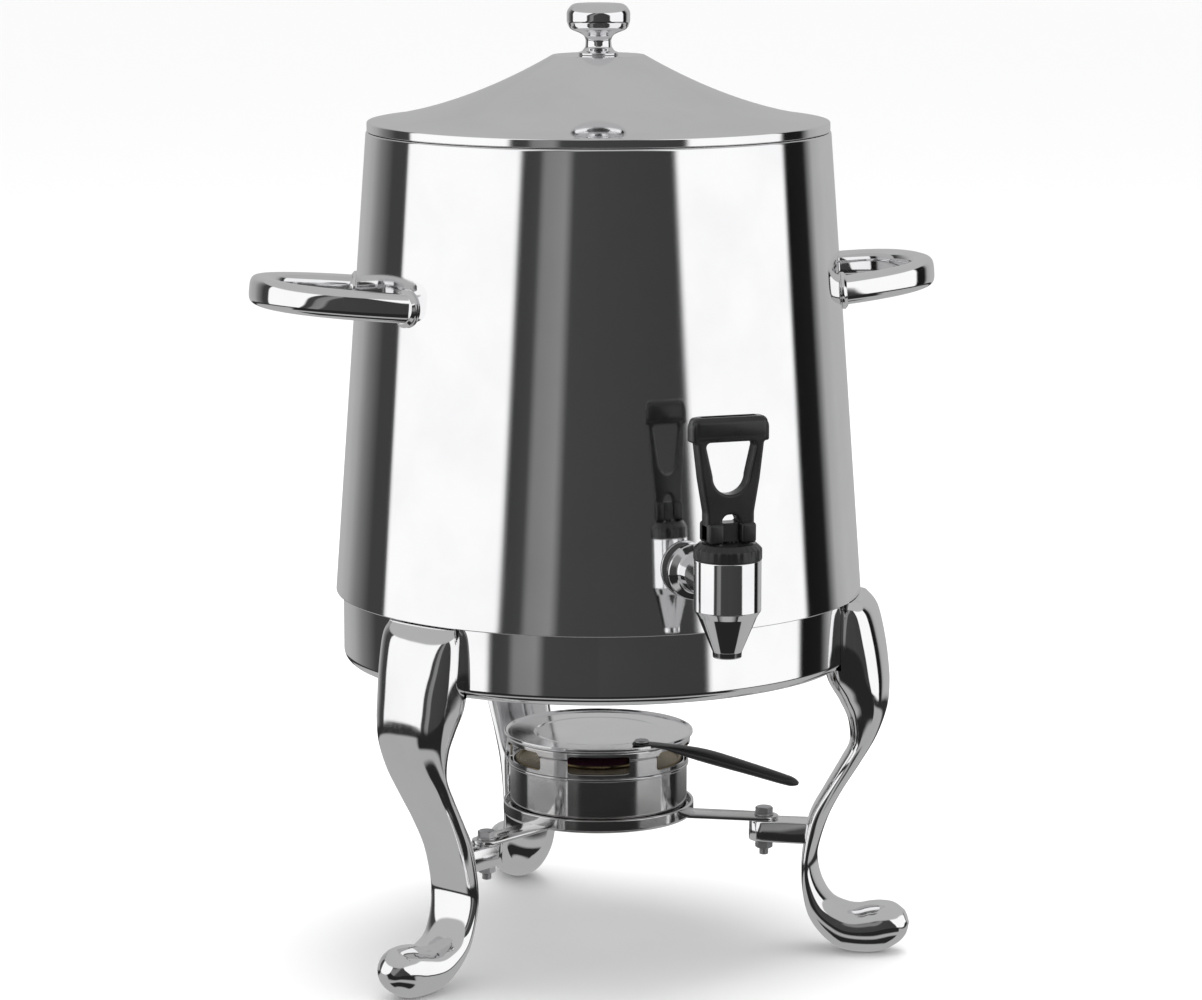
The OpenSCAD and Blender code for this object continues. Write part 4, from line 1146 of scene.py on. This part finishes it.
# %% Floor
floor_mesh = bpy.data.meshes.new("studio_floor")
reach = 14.0
floor_corners = [(-reach, -reach, 0), (reach, -reach, 0), (reach, reach, 0), (-reach, reach, 0)]
floor_mesh.from_pydata(floor_corners, [], [(0, 1, 2, 3)])
floor = bpy.data.objects.new("studio_floor", floor_mesh)
bpy.context.scene.collection.objects.link(floor)
floor.location.z = -0.0002
floor_finish = bpy.data.materials.new("pale_floor")
floor_finish.use_nodes = True
floor_shader = floor_finish.node_tree.nodes["Principled BSDF"]
floor_shader.inputs["Base Color"].default_value = (0.86, 0.86, 0.86, 1)
floor_shader.inputs["Roughness"].default_value = 0.6
floor_shader.inputs["Specular IOR Level"].default_value = 0.2
floor_mesh.materials.append(floor_finish)
floor.visible_glossy = False

# %% Camera
CAMERA_TURN = -19.5
CAMERA_AWAY, CAMERA_UP = 2.100, 0.5895
AIM_Z, AXIS_SHIFT = 0.234, 0.0013
camera_data = bpy.data.cameras.new("product_camera")
camera = bpy.data.objects.new("product_camera", camera_data)
bpy.context.scene.collection.objects.link(camera)
tent_turn = math.radians(CAMERA_TURN)
camera.location = (CAMERA_AWAY * math.sin(tent_turn), -CAMERA_AWAY * math.cos(tent_turn), CAMERA_UP)
aim = Vector((AXIS_SHIFT * math.cos(tent_turn), AXIS_SHIFT * math.sin(tent_turn), AIM_Z))
camera.rotation_mode = "QUATERNION"
camera.rotation_quaternion = (aim - camera.location).to_track_quat("-Z", "Y")
camera_data.sensor_width = 36.0
camera_data.lens = 122.7
camera_data.clip_end = 60.0
bpy.context.scene.camera = camera

# %% Light tent by compass direction
GAP_LEAN = 47.8
SKY_SEEN_DIRECTLY = 1.22
TENT_WALLS = [
    (-180, 0.46), (-155, 0.45), (-143, 0.37), (-133, 0.20), (-124, 0.10), (-119, 0.05), (-107, 0.05),
    (-105, 1.04), (-41.4, 1.04), (-39, 0.045), (-31, 0.055), (-28, 0.20), (-18, 0.24), (-14, 0.055),
    (39, 0.045), (41.4, 1.04), (100.5, 1.04), (103, 0.008), (119, 0.012), (128, 0.40), (140, 0.46),
    (180, 0.46),
]
TENT_CAPS = [(-1, 0.42), (-0.33, 0.42), (-0.30, 0.03), (0, 0.03), (0.1, 0.47), (1, 0.47)]
WALL_REACH = [(-1, 0), (-0.24, 0), (-0.2215, 1), (0.40, 1), (0.46, 0), (1, 0)]
LOW_GAP_COMPASS = [(-180, 0), (-54, 0), (-44, 1), (44, 1), (54, 0), (180, 0)]
LOW_GAP_REACH = [
    (-1, 0), (-0.96, 0), (-0.93, 1), (-0.74, 1), (-0.68, 0), (-0.56, 0), (-0.50, 1), (0, 1), (0.1, 0), (1, 0),
]
world = bpy.data.worlds.new("light_tent")
bpy.context.scene.world = world
world.use_nodes = True
tree = world.node_tree
tree.nodes.clear()
link = tree.links.new
way = node(tree, "ShaderNodeTexCoord", (-1400, 0))
split = node(tree, "ShaderNodeSeparateXYZ", (-1200, 0))
link(way.outputs["Generated"], split.inputs[0])

# %% The angle round the urn, zero towards the front of the tent and positive to its right
turned_way = node(tree, "ShaderNodeVectorRotate", (-1200, 200), rotation_type="Z_AXIS")
turned_way.inputs["Angle"].default_value = -tent_turn
link(way.outputs["Generated"], turned_way.inputs["Vector"])
split_turned = node(tree, "ShaderNodeSeparateXYZ", (-1000, 200))
link(turned_way.outputs["Vector"], split_turned.inputs[0])
minus_y = math_node(tree, (-820, 120), "MULTIPLY", split_turned.outputs["Y"], -1.0)
compass = math_node(tree, (-640, 200), "ARCTAN2", split_turned.outputs["X"], minus_y)

# %% The front gap between the walls grows wider downwards, and the seams at the back stay upright
near_gap = node(tree, "ShaderNodeMapRange", (-300, 580), in_To_Min=1.0, in_To_Max=0.0)
near_gap.inputs["From Min"].default_value = math.radians(60)
near_gap.inputs["From Max"].default_value = math.radians(90)
link(math_node(tree, (-460, 580), "ABSOLUTE", compass), near_gap.inputs["Value"])
lean_out = math_node(tree, (-300, 420), "MULTIPLY", split.outputs["Z"], math.radians(GAP_LEAN))
lean_side = math_node(tree, (-140, 420), "MULTIPLY", lean_out, math_node(tree, (-460, 420), "SIGN", compass))
leaned = math_node(tree, (20, 420), "MULTIPLY_ADD", lean_side, near_gap.outputs["Result"], compass)
share = node(tree, "ShaderNodeMapRange", (180, 420))
share.inputs["From Min"].default_value = -math.pi
share.inputs["From Max"].default_value = math.pi
link(leaned, share.inputs["Value"])
level = node(tree, "ShaderNodeMapRange", (-1000, -200))
level.inputs["From Min"].default_value = -1.0
link(split.outputs["Z"], level.inputs["Value"])


# %% Brightness by compass direction and by height
def grey(value):
    return (value, value, value)


def brightness(stops, by, place):
    """Brightness along stops that run evenly from the first one's direction to the last one's."""
    made = node(tree, "ShaderNodeValToRGB", place)
    elements = made.color_ramp.elements
    first, span = stops[0][0], stops[-1][0] - stops[0][0]
    elements[0].position, elements[0].color = 0.0, (*grey(stops[0][1]), 1)
    elements[1].position, elements[1].color = 1.0, (*grey(stops[-1][1]), 1)
    for direction, value in stops[1:-1]:
        elements.new((direction - first) / span).color = (*grey(value), 1)
    link(by.outputs["Result"], made.inputs["Fac"])
    return made.outputs["Color"]


walls = brightness(TENT_WALLS, share, (-260, 200))
caps = brightness(TENT_CAPS, level, (-640, -200))
wall_reach = brightness(WALL_REACH, level, (-640, -460))
low_gap = brightness(LOW_GAP_COMPASS, share, (-260, -60))
low_gap_reach = brightness(LOW_GAP_REACH, level, (-640, -720))
low_gap_mask = math_node(tree, (-200, -600), "MULTIPLY", low_gap, low_gap_reach)
gapped_caps = mixed(tree, (-100, -300), low_gap_mask, caps, grey(0.02))
tent = mixed(tree, (0, 60), wall_reach, gapped_caps, walls)
ray = node(tree, "ShaderNodeLightPath", (0, 400))
seen_by_metal = mixed(tree, (260, 200), ray.outputs["Is Glossy Ray"], grey(SKY_SEEN_DIRECTLY), tent)
sky = node(tree, "ShaderNodeBackground", (500, 200))
link(seen_by_metal, sky.inputs["Color"])
world_out = node(tree, "ShaderNodeOutputWorld", (700, 200))
link(sky.outputs[0], world_out.inputs["Surface"])

# %% Soft lamps
def soft_lamp(name, place, aim_at, size, watts):
    lamp = bpy.data.lights.new(name, "AREA")
    lamp.shape = "RECTANGLE"
    lamp.size, lamp.size_y = size
    lamp.energy = watts
    made = bpy.data.objects.new(name, lamp)
    bpy.context.scene.collection.objects.link(made)
    made.location = place
    made.rotation_mode = "QUATERNION"
    made.rotation_quaternion = (Vector(aim_at) - made.location).to_track_quat("-Z", "Y")
    made.visible_glossy = False
    return made


soft_lamp("overhead_softbox", (0.3, 0.2, 2.4), (0, 0, 0), (1.6, 1.6), 34)
scene = bpy.context.scene
scene.view_settings.view_transform = "Standard"
scene.view_settings.look = "None"
print("studio made")

# %% The number of pieces made, and the end of the lesson
print("pieces made:", len(made_pieces))
